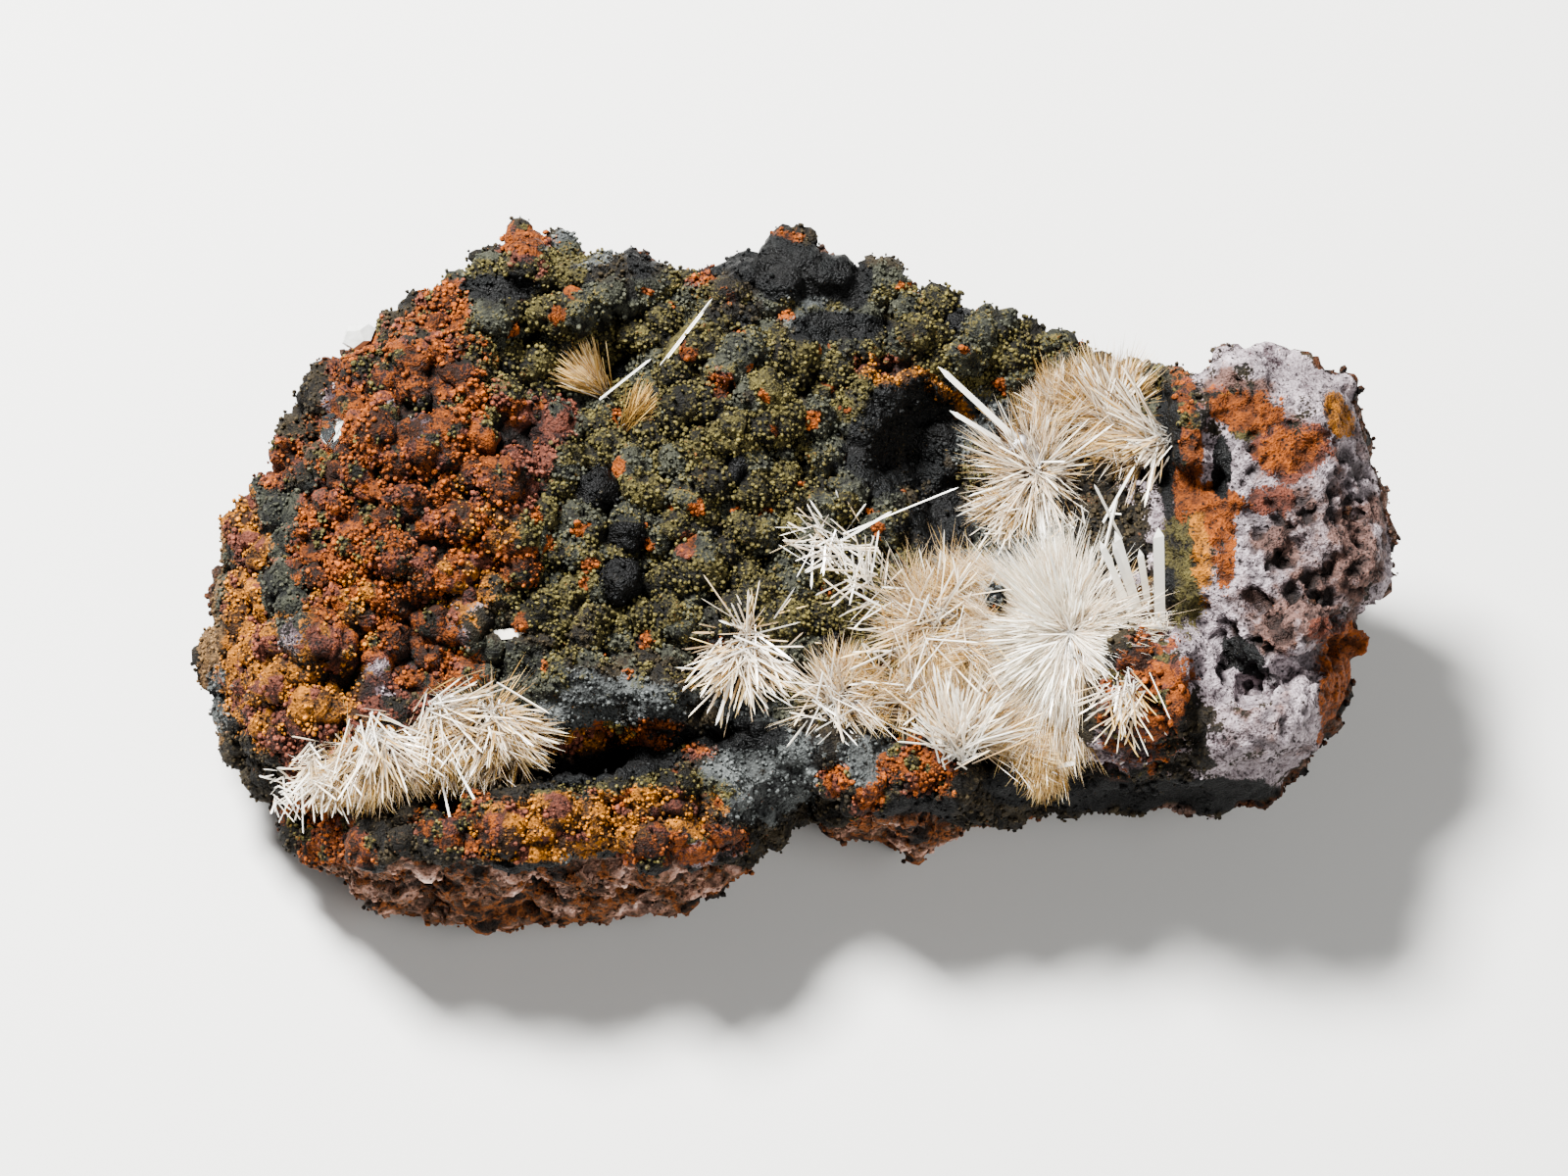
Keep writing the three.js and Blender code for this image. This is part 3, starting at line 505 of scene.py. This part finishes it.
def beddedColour(tree, place, beads):
    # the broken sides and the layered wall: thin beds of brown, rust, pink and near black, brighter on the
    # layered wall as painted light
    across, upward = 0.26 / mm, 0.46 / mm
    beds = addNode(tree, "Mapping", {"Vector": place, "Scale": (across, across, upward)}).outputs[0]
    bed = addNode(tree, "TexNoise", {"Vector": beds, "Scale": 1.0, "Detail": 5.0, "Roughness": 0.65})
    ramp = addNode(tree, "ValToRGB", {"Fac": bed.outputs["Fac"]})
    first, last = ramp.color_ramp.elements
    first.position, first.color = 0.35, srgb("#070504")
    last.position, last.color = 0.74, srgb("#c8aea2")
    stops = ((0.42, "#20160f"), (0.47, "#5c3010"), (0.51, "#33281f"), (0.56, "#69493a"), (0.63, "#8b6d60"))
    for stop, colour in stops:
        ramp.color_ramp.elements.new(stop).color = srgb(colour)
    # painted light: the beds are brightened on the layered wall, up to 2.65 times against 0.75 times
    # elsewhere, and mottled by bead
    paintedWallLight = mathOf(tree, "MULTIPLY_ADD", attributeOf(tree, "paintedWallLight"), 1.9, 0.75)
    bedMottleAndLight = mathOf(tree, "MULTIPLY", stretched(tree, beads, 0.9, 2.0, least=0.3), paintedWallLight)
    return mixed(tree, 1.0, ramp.outputs["Color"], bedMottleAndLight, blend_type="MULTIPLY")


def gossanMaterial():
    material, tree, shader = newMaterial("gossanCrust")
    place = addNode(tree, "TexCoord").outputs["Object"]
    blotch = noiseOf(tree, place, 3.0, 4.0)
    speckle = noiseOf(tree, place, 0.7, 3.0)
    grit = noiseOf(tree, place, 0.2, 2.0)

    # light and dark of a mineral: by bead, by cluster, by speckle and by grit, and dark on the crusted skin
    # as painted shade between beads
    mottle = mathOf(tree, "ADD", speckle, grit)
    beads = mathOf(tree, "MULTIPLY_ADD", attributeOf(tree, "tone"), 1.0, mottle)
    beads = mathOf(tree, "MULTIPLY_ADD", attributeOf(tree, "clump"), 0.35, beads)
    shade = stretched(tree, beads, 1.1, 2.3)
    ragged = mathOf(tree, "MULTIPLY_ADD", mottle, 1.1, blotch)

    def pair(name):
        dark, light = crust[name]
        return mixed(tree, shade, srgb(dark), srgb(light))

    def laidOver(under, over, mask):
        edge = stretched(tree, mathOf(tree, "ADD", ragged, mask), 2.0, 2.14)
        return mixed(tree, edge, under, over)

    # the lilac rock is stained brown in clouds
    clouds = {"Vector": place, "Scale": 1 / (5.0 * mm), "Detail": 6.0, "Roughness": 0.62}
    cloud = addNode(tree, "TexNoise", clouds).outputs["Fac"]
    stain = mathOf(tree, "MULTIPLY_ADD", attributeOf(tree, "stain"), 0.2, cloud)
    stain = stretched(tree, stain, 0.56, 0.68, most=0.9)
    colour = pair("ground")
    for name in ("tan", "lilac", "slate", "greyGreen", "olive", "ochre", "brick", "rust", "oxide"):
        over = pair(name)
        if name == "lilac":
            over = mixed(tree, stain, over, pair("stain"))
        colour = laidOver(colour, over, attributeOf(tree, name))
    part = stretched(tree, attributeOf(tree, "broken"), 0.35, 0.65)
    colour = mixed(tree, part, colour, beddedColour(tree, place, beads))

    # pores of the lilac rock, finer than the skin can hold, painted as dark spots of shade
    pores = addNode(tree, "TexVoronoi", {"Vector": place, "Scale": 1 / (0.45 * mm)}).outputs["Distance"]
    pores = mathOf(tree, "MULTIPLY_ADD", grit, 0.35, pores)
    pores = mathOf(tree, "MULTIPLY", stretched(tree, pores, 0.52, 0.36), attributeOf(tree, "lilac"))
    hollow = mathOf(tree, "MAXIMUM", attributeOf(tree, "hollow"), pores)
    # the painted shade mask darkens the colour towards near black
    colour = mixed(tree, mathOf(tree, "MULTIPLY", hollow, 0.93), colour, srgb(crust["hollow"]))
    tree.links.new(colour, shader.inputs["Base Color"])

    dry = stretched(tree, speckle, 0.0, 1.0, 0.55, 0.95)
    dry = mathOf(tree, "MULTIPLY_ADD", attributeOf(tree, "oxide"), -0.25, dry)
    tree.links.new(dry, shader.inputs["Roughness"])
    shader.inputs["Specular IOR Level"].default_value = 0.12
    bump = addNode(tree, "Bump", {"Height": mottle, "Distance": 0.3 * mm, "Strength": 1.0})
    tree.links.new(bump.outputs["Normal"], shader.inputs["Normal"])
    return material


# Scholzite: fine silky needles, with painted dark shade at the root, straw further up and white where they
# lie in bundles, whiter still near their hearts as a painted glow.
scholzite = {"root": "#2c1b07", "middle": "#b98d42", "tip": "#edd08a", "bare": "#fffdf2"}


def scholziteMaterial():
    material, tree, shader = newMaterial("scholziteNeedles")
    ramp = addNode(tree, "ValToRGB", {"Fac": attributeOf(tree, "along")})
    # the dark root end of the ramp is painted shade
    ramp.color_ramp.elements[0].color = srgb(scholzite["root"])
    ramp.color_ramp.elements[1].color = srgb(scholzite["tip"])
    ramp.color_ramp.elements[1].position = 0.9
    ramp.color_ramp.elements.new(0.3).color = srgb(scholzite["middle"])
    colour = mixed(tree, attributeOf(tree, "white"), ramp.outputs["Color"], srgb(scholzite["bare"]))
    tree.links.new(colour, shader.inputs["Base Color"])
    shader.inputs["Roughness"].default_value = 0.25
    shader.inputs["IOR"].default_value = 1.59
    return material


# Sprays. A heart is where needles radiate from: u, v, reach in mm, whiteness, density, how unruly it is
# and the bearings between which its loose needles lie, anticlockwise from the right. A blade is one needle
# placed singly: u, v, bearing, rise, length and width. Fur and loose are the numbers of needles of each
# kind, length is the fur's in mm, and the fur is thin where a patch is sparse. Thick, lift and straw stand
# in place of the usual values, which follow the sprays.
sprays = {
    "mainSpray": {
        "node": "main_spray", "fur": 35500, "loose": 1400, "length": (1.8, 6.4), "lift": 0.3,
        "sparse": [
            (26.4, 0.6, 5.6, 4.6, 0), (14.7, -1.6, 1.0, 1.2, 0), (11.2, -3.0, 1.3, 0.9, 20),
            (20.6, -5.6, 0.8, 0.5, -40), (22.2, -9.4, 1.2, 2.4, 0), (9.4, -11.8, 1.2, 0.8, 0),
            (6.4, -6.0, 1.2, 0.7, 40), (7.2, -9.9, 1.2, 0.8, 0),
        ],
        "hearts": [
            (20.2, -4.2, 12.5, 1.5, 1.3, 0.25, 70, 290), (10.4, -3.6, 6.5, 0.3, 0.7, 0.8, 0, 360),
            (12.0, -12.6, 6.5, 0.4, 0.9, 0.4, 20, 165), (3.1, -9.4, 4.6, 0.7, 0.5, 0.6, 60, 340),
            (26.8, -3.8, 3.8, 0.5, 0.4, 0.3, 70, 200), (8.6, -7.6, 4.5, 0.1, 0.8, 0.9, 40, 200),
            (24.0, -8.6, 4.5, 0.0, 0.6, 0.5, 190, 320), (5.6, -0.6, 4.0, 0.7, 0.3, 0.5, 60, 250),
        ],
        "blades": [
            (25.7, -3.8, 108, 30, 8.6, 0.62), (26.9, -3.4, 93, 32, 8.2, 0.8),
            (25.0, -3.2, 115, 28, 7.2, 0.5), (26.3, -3.4, 101, 34, 6.6, 0.5),
            (25.5, -3.5, 111, 34, 7.8, 0.4), (24.2, -3.0, 104, 28, 5.4, 0.34),
            (17.4, -2.4, 118, 34, 6.4, 0.22), (21.4, -2.4, 84, 34, 5.6, 0.22),
            (22.6, 0.6, 78, 24, 6.0, 0.26), (9.6, -4.0, 152, 26, 7.2, 0.2),
            (10.2, -3.2, 84, 28, 5.8, 0.2), (18.4, -14.2, 12, 20, 2.4, 0.34),
        ],
    },
    "backSpray": {
        "node": "back_spray", "fur": 7500, "loose": 560, "length": (1.6, 5.4), "lift": 0.24, "straw": 0.4,
        "sparse": [
            (22.4, 6.4, 2.2, 2.4, 0), (15.5, 10.8, 1.6, 1.4, 0), (20.6, 10.4, 1.2, 1.0, 0),
            (24.6, 6.8, 1.2, 1.4, 0), (18.6, 4.6, 0.9, 0.8, 0),
        ],
        "hearts": [
            (18.2, 7.8, 7.0, 0.7, 0.5, 0.25, 0, 360), (27.2, 10.2, 6.6, 0.2, 0.8, 0.3, 110, 262),
            (23.8, 12.0, 5.0, 0.0, 1.1, 0.3, 45, 135), (19.8, 11.4, 4.8, 0.0, 1.0, 0.35, 60, 170),
            (20.7, 3.6, 4.0, 0.45, 0.6, 0.5, 180, 360), (16.6, 4.4, 4.0, 0.4, 0.6, 0.5, 150, 280),
        ],
        "blades": [
            (18.0, 9.0, 138, 18, 10.4, 0.42), (17.4, 9.0, 150, 16, 7.0, 0.34),
            (18.2, 7.4, 274, 26, 6.6, 0.36), (18.4, 7.8, 20, 26, 6.0, 0.2),
            (18.4, 7.4, 205, 20, 7.5, 0.16), (23.0, 4.0, 62, 30, 5.4, 0.3),
            (24.2, 2.8, 118, 30, 5.2, 0.26),
        ],
    },
    "outlyingSpray": {
        "node": "outlying_spray", "fur": 0, "loose": 150,
        "hearts": [(2.4, 2.6, 4.0, 0.6, 1.0, 0.6, 130, 380), (4.0, 3.0, 3.8, 0.6, 1.0, 0.6, 0, 360)],
        "blades": [
            (3.6, 3.1, 22, 12, 9.4, 0.13), (3.4, 2.6, 30, 18, 4.6, 0.24), (3.0, 1.6, 318, 16, 5.2, 0.14),
        ],
    },
    "smallSpray": {
        "node": "small_spray", "fur": 0, "loose": 300,
        "hearts": [
            (-3.8, -5.4, 5.8, 0.2, 1.0, 0.4, 185, 335), (-3.4, -4.8, 5.0, 0.1, 0.3, 0.45, -40, 200),
        ],
        "blades": [
            (-3.6, -7.0, 178, 12, 7.4, 0.2), (-3.2, -5.6, 56, 22, 6.2, 0.12),
            (-4.4, -6.6, 252, 22, 5.0, 0.24),
        ],
    },
    "leftSpray": {
        "node": "left_spray", "fur": 6000, "loose": 560, "length": (1.4, 5.2), "lift": 0.28, "straw": 0.42,
        "sparse": [
            (-20.0, -15.6, 2.6, 1.4, 0), (-41.5, -17.5, 2.6, 3, 0), (-24.6, -12.6, 0.9, 0.7, 0),
            (-29, -12.4, 0.8, 0.7, 0), (-32.6, -15.2, 0.9, 0.6, 0),
        ],
        "hearts": [
            (-37.6, -15.6, 2.6, 0.7, 0.8, 0.9, 180, 360), (-34.4, -14.0, 3.2, 0.7, 1.6, 0.9, 180, 360),
            (-30.8, -11.6, 5.4, 0.3, 0.8, 0.45, 225, 350), (-26.2, -9.8, 6.0, 0.1, 0.6, 0.4, 235, 400),
            (-22.2, -10.2, 6.0, 0.1, 0.6, 0.4, 200, 350),
        ],
        "blades": [
            (-26.4, -13.6, 284, 18, 6.4, 0.18), (-25.8, -12.4, 300, 20, 5.8, 0.18),
            (-22, -12.4, 292, 20, 5.0, 0.22),
        ],
    },
    "upperFan": {
        "node": "upper_fan", "fur": 0, "loose": 560, "thick": (0.03, 0.08), "straw": 0.65,
        "hearts": [(-14.4, 13.8, 4.8, -0.9, 1.0, 0.16, 100, 168)],
        "blades": [(-14.6, 13.2, 38, 10, 5.0, 0.2)],
    },
    "lowerFan": {
        "node": "lower_fan", "fur": 0, "loose": 300, "thick": (0.03, 0.07), "straw": 0.3,
        "hearts": [(-12.6, 11.0, 4.2, -1.4, 1.0, 0.14, 22, 80)],
        "blades": [],
    },
}
bareBlades = {
    "longNeedle": {"node": "long_needle", "bearing": 52, "width": (0.2, 0.3)},
    "smallPrism": {"node": "small_prism", "bearing": 6, "width": (0.5, 0.6)},
}
fur = {
    "width": (0.055, 0.14),  # mm
    "sheaf": 5,  # needles in a sheaf
    "off": (0.1, 0.75),  # part of the way that points off the crystal side
    "spread": 0.15,  # of ways and whiteness in a sheaf
    "shift": 0.2,  # mm
    "root": 0.3,  # mm below the face of the core
    "share": (0.35, 1.1),  # of the sheaf's length
}
loose = {
    "width": (0.07, 0.17),  # mm
    "longest": 7.5,  # mm
    "share": (0.35, 1),  # of the reach
    "rise": (6, 42),  # degrees
    "shift": 1.6,  # mm, at most this part of the reach:
    "farthest": 0.4,
    "lift": 0.18,  # of the reach
}
trimmed = 0.75  # of a needle's length, where its tip is over a sparse patch
usualStraw = 0.55
flatOver = 0.3  # mm: wider needles lie flat to the crystal side
heartDepth = 0.8  # mm below the rock
bladeLift = 0.5  # mm above the rock
core = {"skin": 0.4, "smoothing": 0.9, "rounds": 30}


def rootOn(rock, u, v):
    origin = np.array([u, side["middleY"], 0]) + upSide * v + offSide * 80
    return np.array(rock.ray_cast(Vector(origin * mm), Vector(-offSide))[0]) / mm


def wayOf(bearing, rise):
    b, r = np.radians(bearing), np.radians(rise)
    flat = np.cos(b)[:, None] * np.array([1, 0, 0]) + np.sin(b)[:, None] * upSide
    return flat * np.cos(r)[:, None] + np.sin(r)[:, None] * offSide


def unit(ways):
    return ways / np.linalg.norm(ways, axis=1)[:, None]


def furNeedles(matted, d, hearts):
    # needles in small sheaves all over the core, laid like thatch: each points away from its own heart
    _, _, reach, white, dense, unruly, _, _ = np.array(d["hearts"]).T
    middle = np.array([p.center[:] for p in matted.data.polygons]) / mm
    weight = np.array([p.area * (Vector(offSide).dot(p.normal) > -0.3) for p in matted.data.polygons])
    far = np.linalg.norm(middle[:, None] - hearts[None], axis=2) / reach
    weight *= dense[np.argmin(far, axis=1)] * (1 - 0.94 * patchMask(*onSide(middle * mm), d["sparse"]))
    sheaves = d["fur"] // fur["sheaf"]
    start = middle[dice.choice(len(weight), sheaves, p=weight / weight.sum())]
    far = np.linalg.norm(start[:, None] - hearts[None], axis=2) / reach
    own = np.argmin(far + dice.uniform(0, 0.5, far.shape), axis=1)
    away = np.take_along_axis(far, own[:, None], 1)[:, 0]
    ways = start - hearts[own]
    ways = unit(ways - offSide * (ways @ offSide)[:, None])
    ways = unit(ways + dice.normal(0, 1, ways.shape) * unruly[own][:, None])
    ways = unit(ways + offSide * (dice.uniform(*fur["off"], sheaves) - ways @ offSide)[:, None])
    length = dice.uniform(*d["length"], sheaves) * np.clip(1.35 - away, 0.3, 1)
    length *= np.clip(reach[own] / 5, 0.5, 1)
    # painted glow: a fur needle is whiter the nearer it lies to its heart, on top of the heart's own
    # whiteness
    pale = np.clip(white[own] * (1.2 - 1.6 * away) + dice.normal(0, 0.25, sheaves), 0, 1)

    sheaf = np.repeat(np.arange(sheaves), fur["sheaf"])
    count = len(sheaf)
    ways = unit(ways[sheaf] + dice.normal(0, fur["spread"], (count, 3)))
    start = start[sheaf] + dice.uniform(-fur["shift"], fur["shift"], (count, 3)) - ways * fur["root"]
    pale = np.clip(pale[sheaf] + dice.normal(0, fur["spread"], count), 0, 1)
    length = length[sheaf] * dice.uniform(*fur["share"], count)
    tips = onSide((start + ways * length[:, None]) * mm)
    length *= 1 - trimmed * patchMask(*tips, d["sparse"]) * (dice.uniform(0, 1, count) < 0.85)
    return spike, start, ways, length, dice.uniform(*fur["width"], count), pale


def looseNeedles(d, hearts):
    # longer, whiter needles that lie across the fur and stand out of it
    _, _, reach, white, dense, unruly, low, high = np.array(d["hearts"]).T
    count = d["loose"]
    own = dice.choice(len(hearts), count, p=dense * reach / (dense * reach).sum())
    ways = wayOf(dice.uniform(low[own], high[own]), dice.uniform(*loose["rise"], count))
    length = np.minimum(reach[own], loose["longest"]) * dice.uniform(*loose["share"], count)
    farthest = reach[own][:, None] * loose["farthest"]
    shift = dice.normal(0, loose["shift"], (count, 3)) * unruly[own][:, None]
    shift = np.clip(shift, -farthest, farthest)
    ways = unit(ways + dice.normal(0, 0.3, ways.shape) * unruly[own][:, None])
    start = hearts[own] + shift + offSide * (d.get("lift", loose["lift"]) * reach[own])[:, None]
    pale = np.clip(dice.uniform(0, 1, count) + white[own] * 0.5 - 0.15, 0, 1)
    tips = onSide((start + ways * length[:, None]) * mm)
    length *= 1 - trimmed * patchMask(*tips, d.get("sparse", []))
    width = dice.uniform(*d.get("thick", loose["width"]), count)
    return prism, start, ways, length, width, pale


def bladeNeedles(rock, d):
    u, v, bearing, rise, length, width = (np.array(column, dtype=float) for column in zip(*d["blades"]))
    start = np.array([rootOn(rock, *place) for place in zip(u, v)]) + offSide * bladeLift
    return prism, start, wayOf(bearing, rise), length, width, np.ones(len(u))


# A needle is three-sided. Its corners are shares of its half-width to two sides and of its length.
# The prism has a cut tip. The spike, for the fur, runs to a point and is less white at its root, as painted
# shade.
prism = {
    "corners": np.array([
        (1, -0.5, 0), (-1, -0.5, 0), (0, 0.8, 0), (1, -0.5, 0.92), (-1, -0.5, 0.9), (0, 0.8, 0.94),
        (0, 0, 1),
    ]),
    "faces": np.array([
        (0, 2, 5), (0, 5, 3), (2, 1, 4), (2, 4, 5), (1, 0, 3), (1, 3, 4), (3, 5, 6), (5, 4, 6), (4, 3, 6),
        (0, 1, 2),
    ]),
    "rootWhite": 0.75,
}
spike = {
    "corners": np.array([(1, -0.5, 0), (-1, -0.5, 0), (0, 0.9, 0), (0, 0, 1)]),
    "faces": np.array([(0, 2, 3), (2, 1, 3), (1, 0, 3), (0, 1, 2)]),
    "rootWhite": 0.4,
}


def needlePiece(name, parts, material, straw=usualStraw):
    corners, faces, along, white = [], [], [], []
    for shape, start, ways, length, width, pale in parts:
        turn = np.where(width[:, None] > flatOver, offSide, dice.normal(0, 1, ways.shape))
        flat = unit(np.cross(ways, turn))
        thick = np.cross(ways, flat)
        a, b, c = shape["corners"].T
        half = width[:, None, None] / 2
        points = start[:, None] + flat[:, None] * a[None, :, None] * half
        points = points + thick[:, None] * b[None, :, None] * half
        points = points + ways[:, None] * c[None, :, None] * length[:, None, None]
        first = sum(map(len, corners)) + np.arange(len(start)) * len(c)
        faces += (shape["faces"][None] + first[:, None, None]).reshape(-1, 3).tolist()
        corners.append(points.reshape(-1, 3) * mm)
        strawy = np.clip(dice.normal(straw, 0.25, len(start)), 0.12, 1.1)
        along.append((c[None] * np.maximum(strawy, pale)[:, None]).ravel())
        fade = shape["rootWhite"] + (1 - shape["rootWhite"]) * c[None]
        white.append((np.clip(pale, 0, 1)[:, None] * fade).ravel())
    attributes = {"along": np.concatenate(along), "white": np.concatenate(white)}
    corners = np.concatenate(corners)
    piece = pieceFromArrays(name, corners, np.array(faces), attributes, material)
    print(name + ":", len(piece.data.polygons), "faces")
    return piece


def buildCore(name, d, material):
    # the CAD burr, rounded and drawn in, is the matted core that the needles stand on
    piece = copyNode(d["node"], name + "Core")
    modifier = piece.modifiers.new("skin", "REMESH")
    modifier.mode = "VOXEL"
    modifier.voxel_size = core["skin"] * mm
    bpy.ops.object.modifier_apply(modifier="skin")
    modifier = piece.modifiers.new("rounded", "SMOOTH")
    modifier.factor = core["smoothing"]
    modifier.iterations = core["rounds"]
    bpy.ops.object.modifier_apply(modifier="rounded")
    piece.data.shade_smooth()
    # the core takes the needles' dark root colour, painted shade deep inside the spray
    for key in ("along", "white"):
        setAttribute(piece, key, np.zeros(len(piece.data.vertices)))
    piece.data.materials.append(material)
    return piece


def buildSpray(name, d, rock, material):
    hearts = np.array([rootOn(rock, *heart[:2]) - offSide * heartDepth for heart in d["hearts"]])
    parts = [looseNeedles(d, hearts)]
    if d["blades"]:
        parts.append(bladeNeedles(rock, d))
    if d["fur"]:
        matted = buildCore(name, d, material)
        parts.append(furNeedles(matted, d, hearts))
    piece = needlePiece(name, parts, material, d.get("straw", usualStraw))
    if d["fur"]:
        selectOnly(piece)
        matted.select_set(True)
        bpy.ops.object.join()
    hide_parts(d["node"])


def buildBareBlade(name, d, material):
    # one crystal from end to end of its CAD bar, with a shorter one grown against it
    low, high = (np.array(corner[:]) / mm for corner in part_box(d["node"]))
    middle, way = (low + high) / 2 + offSide * 0.35, wayOf(np.array([d["bearing"]]), np.array([4.0]))
    length = np.abs((high - low) / way[0]).min()
    widths = np.array(d["width"])
    shift = np.cross(way[0], offSide) * widths.mean() * 0.35
    start = np.stack([middle - way[0] * length / 2, middle - way[0] * length * 0.38 + shift])
    part = (prism, start, np.repeat(way, 2, 0), np.array([length, length * 0.7]), widths, np.ones(2))
    piece = needlePiece(name, [part], material)
    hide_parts(d["node"])


# A knob of the black crust that stands through the main spray, with a rusty foot.
stoneKnob = {
    "at": (14.7, -1.6),
    "half": (0.75, 1.05, 1.0),
    "rise": 3.6,
    "grains": 260,
    "radius": (0.12, 0.28),
}


def buildStoneKnob(d, rock, masks, material):
    shape, shapeFaces = beadShape()
    count = d["grains"]
    ball = unit(dice.normal(0, 1, (count, 3))) * dice.uniform(0.6, 1, (count, 1))
    spread = ball * d["half"]
    middle = rootOn(rock, *d["at"]) + offSide * d["rise"]
    centre = middle + spread[:, :1] * [1, 0, 0] + spread[:, 1:2] * upSide + spread[:, 2:] * offSide
    uneven = dice.uniform(0.8, 1.2, (count, len(shape), 1))
    beads = centre[:, None] + shape[None] * dice.uniform(*d["radius"], (count, 1, 1)) * uneven
    faces = shapeFaces[None] + (np.arange(count) * len(shape))[:, None, None]
    attributes = {key: np.zeros(count * len(shape)) for key in masks}
    attributes["tone"] = np.repeat(dice.uniform(0.3, 1, count), len(shape))
    attributes["slate"] = np.ones(count * len(shape))
    attributes["rust"] = np.repeat(ball[:, 1] < -0.55, len(shape)) * 1.0
    attributes["oxide"] = np.repeat(dice.uniform(0, 1, count) < 0.4, len(shape)) * 1.0
    corners, faces = beads.reshape(-1, 3) * mm, faces.reshape(-1, 3)
    piece = pieceFromArrays("stoneKnob", corners, faces, attributes, material)
    piece.data.shade_smooth()
    print("stoneKnob:", count, "beads")


def quartzMaterial():
    # milky vein quartz, broken: white with a glossy, uneven face
    material, tree, shader = newMaterial("milkyQuartz")
    place = addNode(tree, "TexCoord").outputs["Object"]
    cloud = noiseOf(tree, place, 1.2, 3.0)
    tree.links.new(mixed(tree, cloud, srgb("#8d8f88"), srgb("#e2e3de")), shader.inputs["Base Color"])
    bump = addNode(tree, "Bump", {"Height": cloud, "Distance": 0.2 * mm, "Strength": 0.6})
    tree.links.new(bump.outputs["Normal"], shader.inputs["Normal"])
    shader.inputs["Roughness"].default_value = 0.3
    shader.inputs["IOR"].default_value = 1.54
    return material


def clearMaterial():
    # a clear quartz crystal, which shows the rock behind it
    material, tree, shader = newMaterial("clearQuartz")
    shader.inputs["Base Color"].default_value = srgb("#eef4f2")
    shader.inputs["Roughness"].default_value = 0.05
    shader.inputs["IOR"].default_value = 1.54
    shader.inputs["Transmission Weight"].default_value = 1.0
    haze = addNode(tree, "VolumeAbsorption", {"Color": srgb("#dfeae6"), "Density": 60.0})
    tree.links.new(haze.outputs["Volume"], tree.nodes["Material Output"].inputs["Volume"])
    return material


def buildChip(node, name, material):
    piece = copyNode(node, name)
    modifier = piece.modifiers.new("edges", "BEVEL")
    modifier.width = 0.08 * mm
    modifier.segments = 2
    bpy.ops.object.modifier_apply(modifier="edges")
    piece.data.materials.append(material)
    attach(piece, "root")
    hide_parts(node)
    print(name + ":", len(piece.data.polygons), "faces")


# The studio: a pale floor, soft light from the upper left and a long lens at the photo's angle.
studio = {
    "floor": "#c9c8c4",
    "sky": "#e6e9ee",
    "skyStrength": 0.19,
    "lens": 150.0,
    "aim": (-0.8, -0.9),  # mm on the crystal side
    "aimHeight": 19.73,  # mm above the table
    "frameWidth": 116.4,  # mm across at the crystal side
    # lights in metres and watts
    "key": {"place": (-0.16, 0.16, 0.4), "size": 0.12, "power": 18.0},
    "fill": {"place": (0.3, -0.3, 0.35), "size": 0.4, "power": 2.6},
}


def areaLight(name, d, target):
    light = bpy.data.lights.new(name, "AREA")
    light.size = d["size"]
    light.energy = d["power"]
    lamp = bpy.data.objects.new(name, light)
    bpy.context.scene.collection.objects.link(lamp)
    lamp.location = d["place"]
    lamp.rotation_euler = (target - lamp.location).to_track_quat("-Z", "Y").to_euler()


def buildStudio():
    bpy.ops.mesh.primitive_plane_add(size=3, location=(0, 0, 0))
    floor = bpy.context.object
    floor.name = "floor"
    material, tree, shader = newMaterial("paperFloor")
    shader.inputs["Base Color"].default_value = srgb(studio["floor"])
    shader.inputs["Roughness"].default_value = 0.9
    floor.data.materials.append(material)

    world = bpy.data.worlds.new("studio")
    world.use_nodes = True
    background = world.node_tree.nodes["Background"]
    background.inputs["Color"].default_value = srgb(studio["sky"])
    background.inputs["Strength"].default_value = studio["skyStrength"]
    bpy.context.scene.world = world

    u, v = studio["aim"]
    height = studio["aimHeight"]
    target = Vector((u, (v - height * cosE) / sinE + side["middleY"], height)) * mm
    areaLight("key", studio["key"], target)
    areaLight("fill", studio["fill"], target)
    camera = bpy.data.objects.new("camera", bpy.data.cameras.new("camera"))
    bpy.context.scene.collection.objects.link(camera)
    camera.data.lens = studio["lens"]
    camera.data.clip_start = 0.01
    distance = studio["frameWidth"] * mm * studio["lens"] / camera.data.sensor_width
    camera.location = target + Vector(offSide) * distance
    camera.rotation_euler = (target - camera.location).to_track_quat("-Z", "Y").to_euler()
    bpy.context.scene.camera = camera
    print("studio set")


crustMaterial = gossanMaterial()
needleMaterial = scholziteMaterial()
lump, masks = buildLump(crustMaterial)
buildGrains(lump, masks, crustMaterial)
rock = BVHTree.FromObject(lump, bpy.context.evaluated_depsgraph_get())
for name, d in sprays.items():
    buildSpray(name, d, rock, needleMaterial)
for name, d in bareBlades.items():
    buildBareBlade(name, d, needleMaterial)
buildStoneKnob(stoneKnob, rock, masks, crustMaterial)
buildChip("quartz_chip", "quartzChip", quartzMaterial())
buildChip("clear_crystal", "clearCrystal", clearMaterial())
buildStudio()
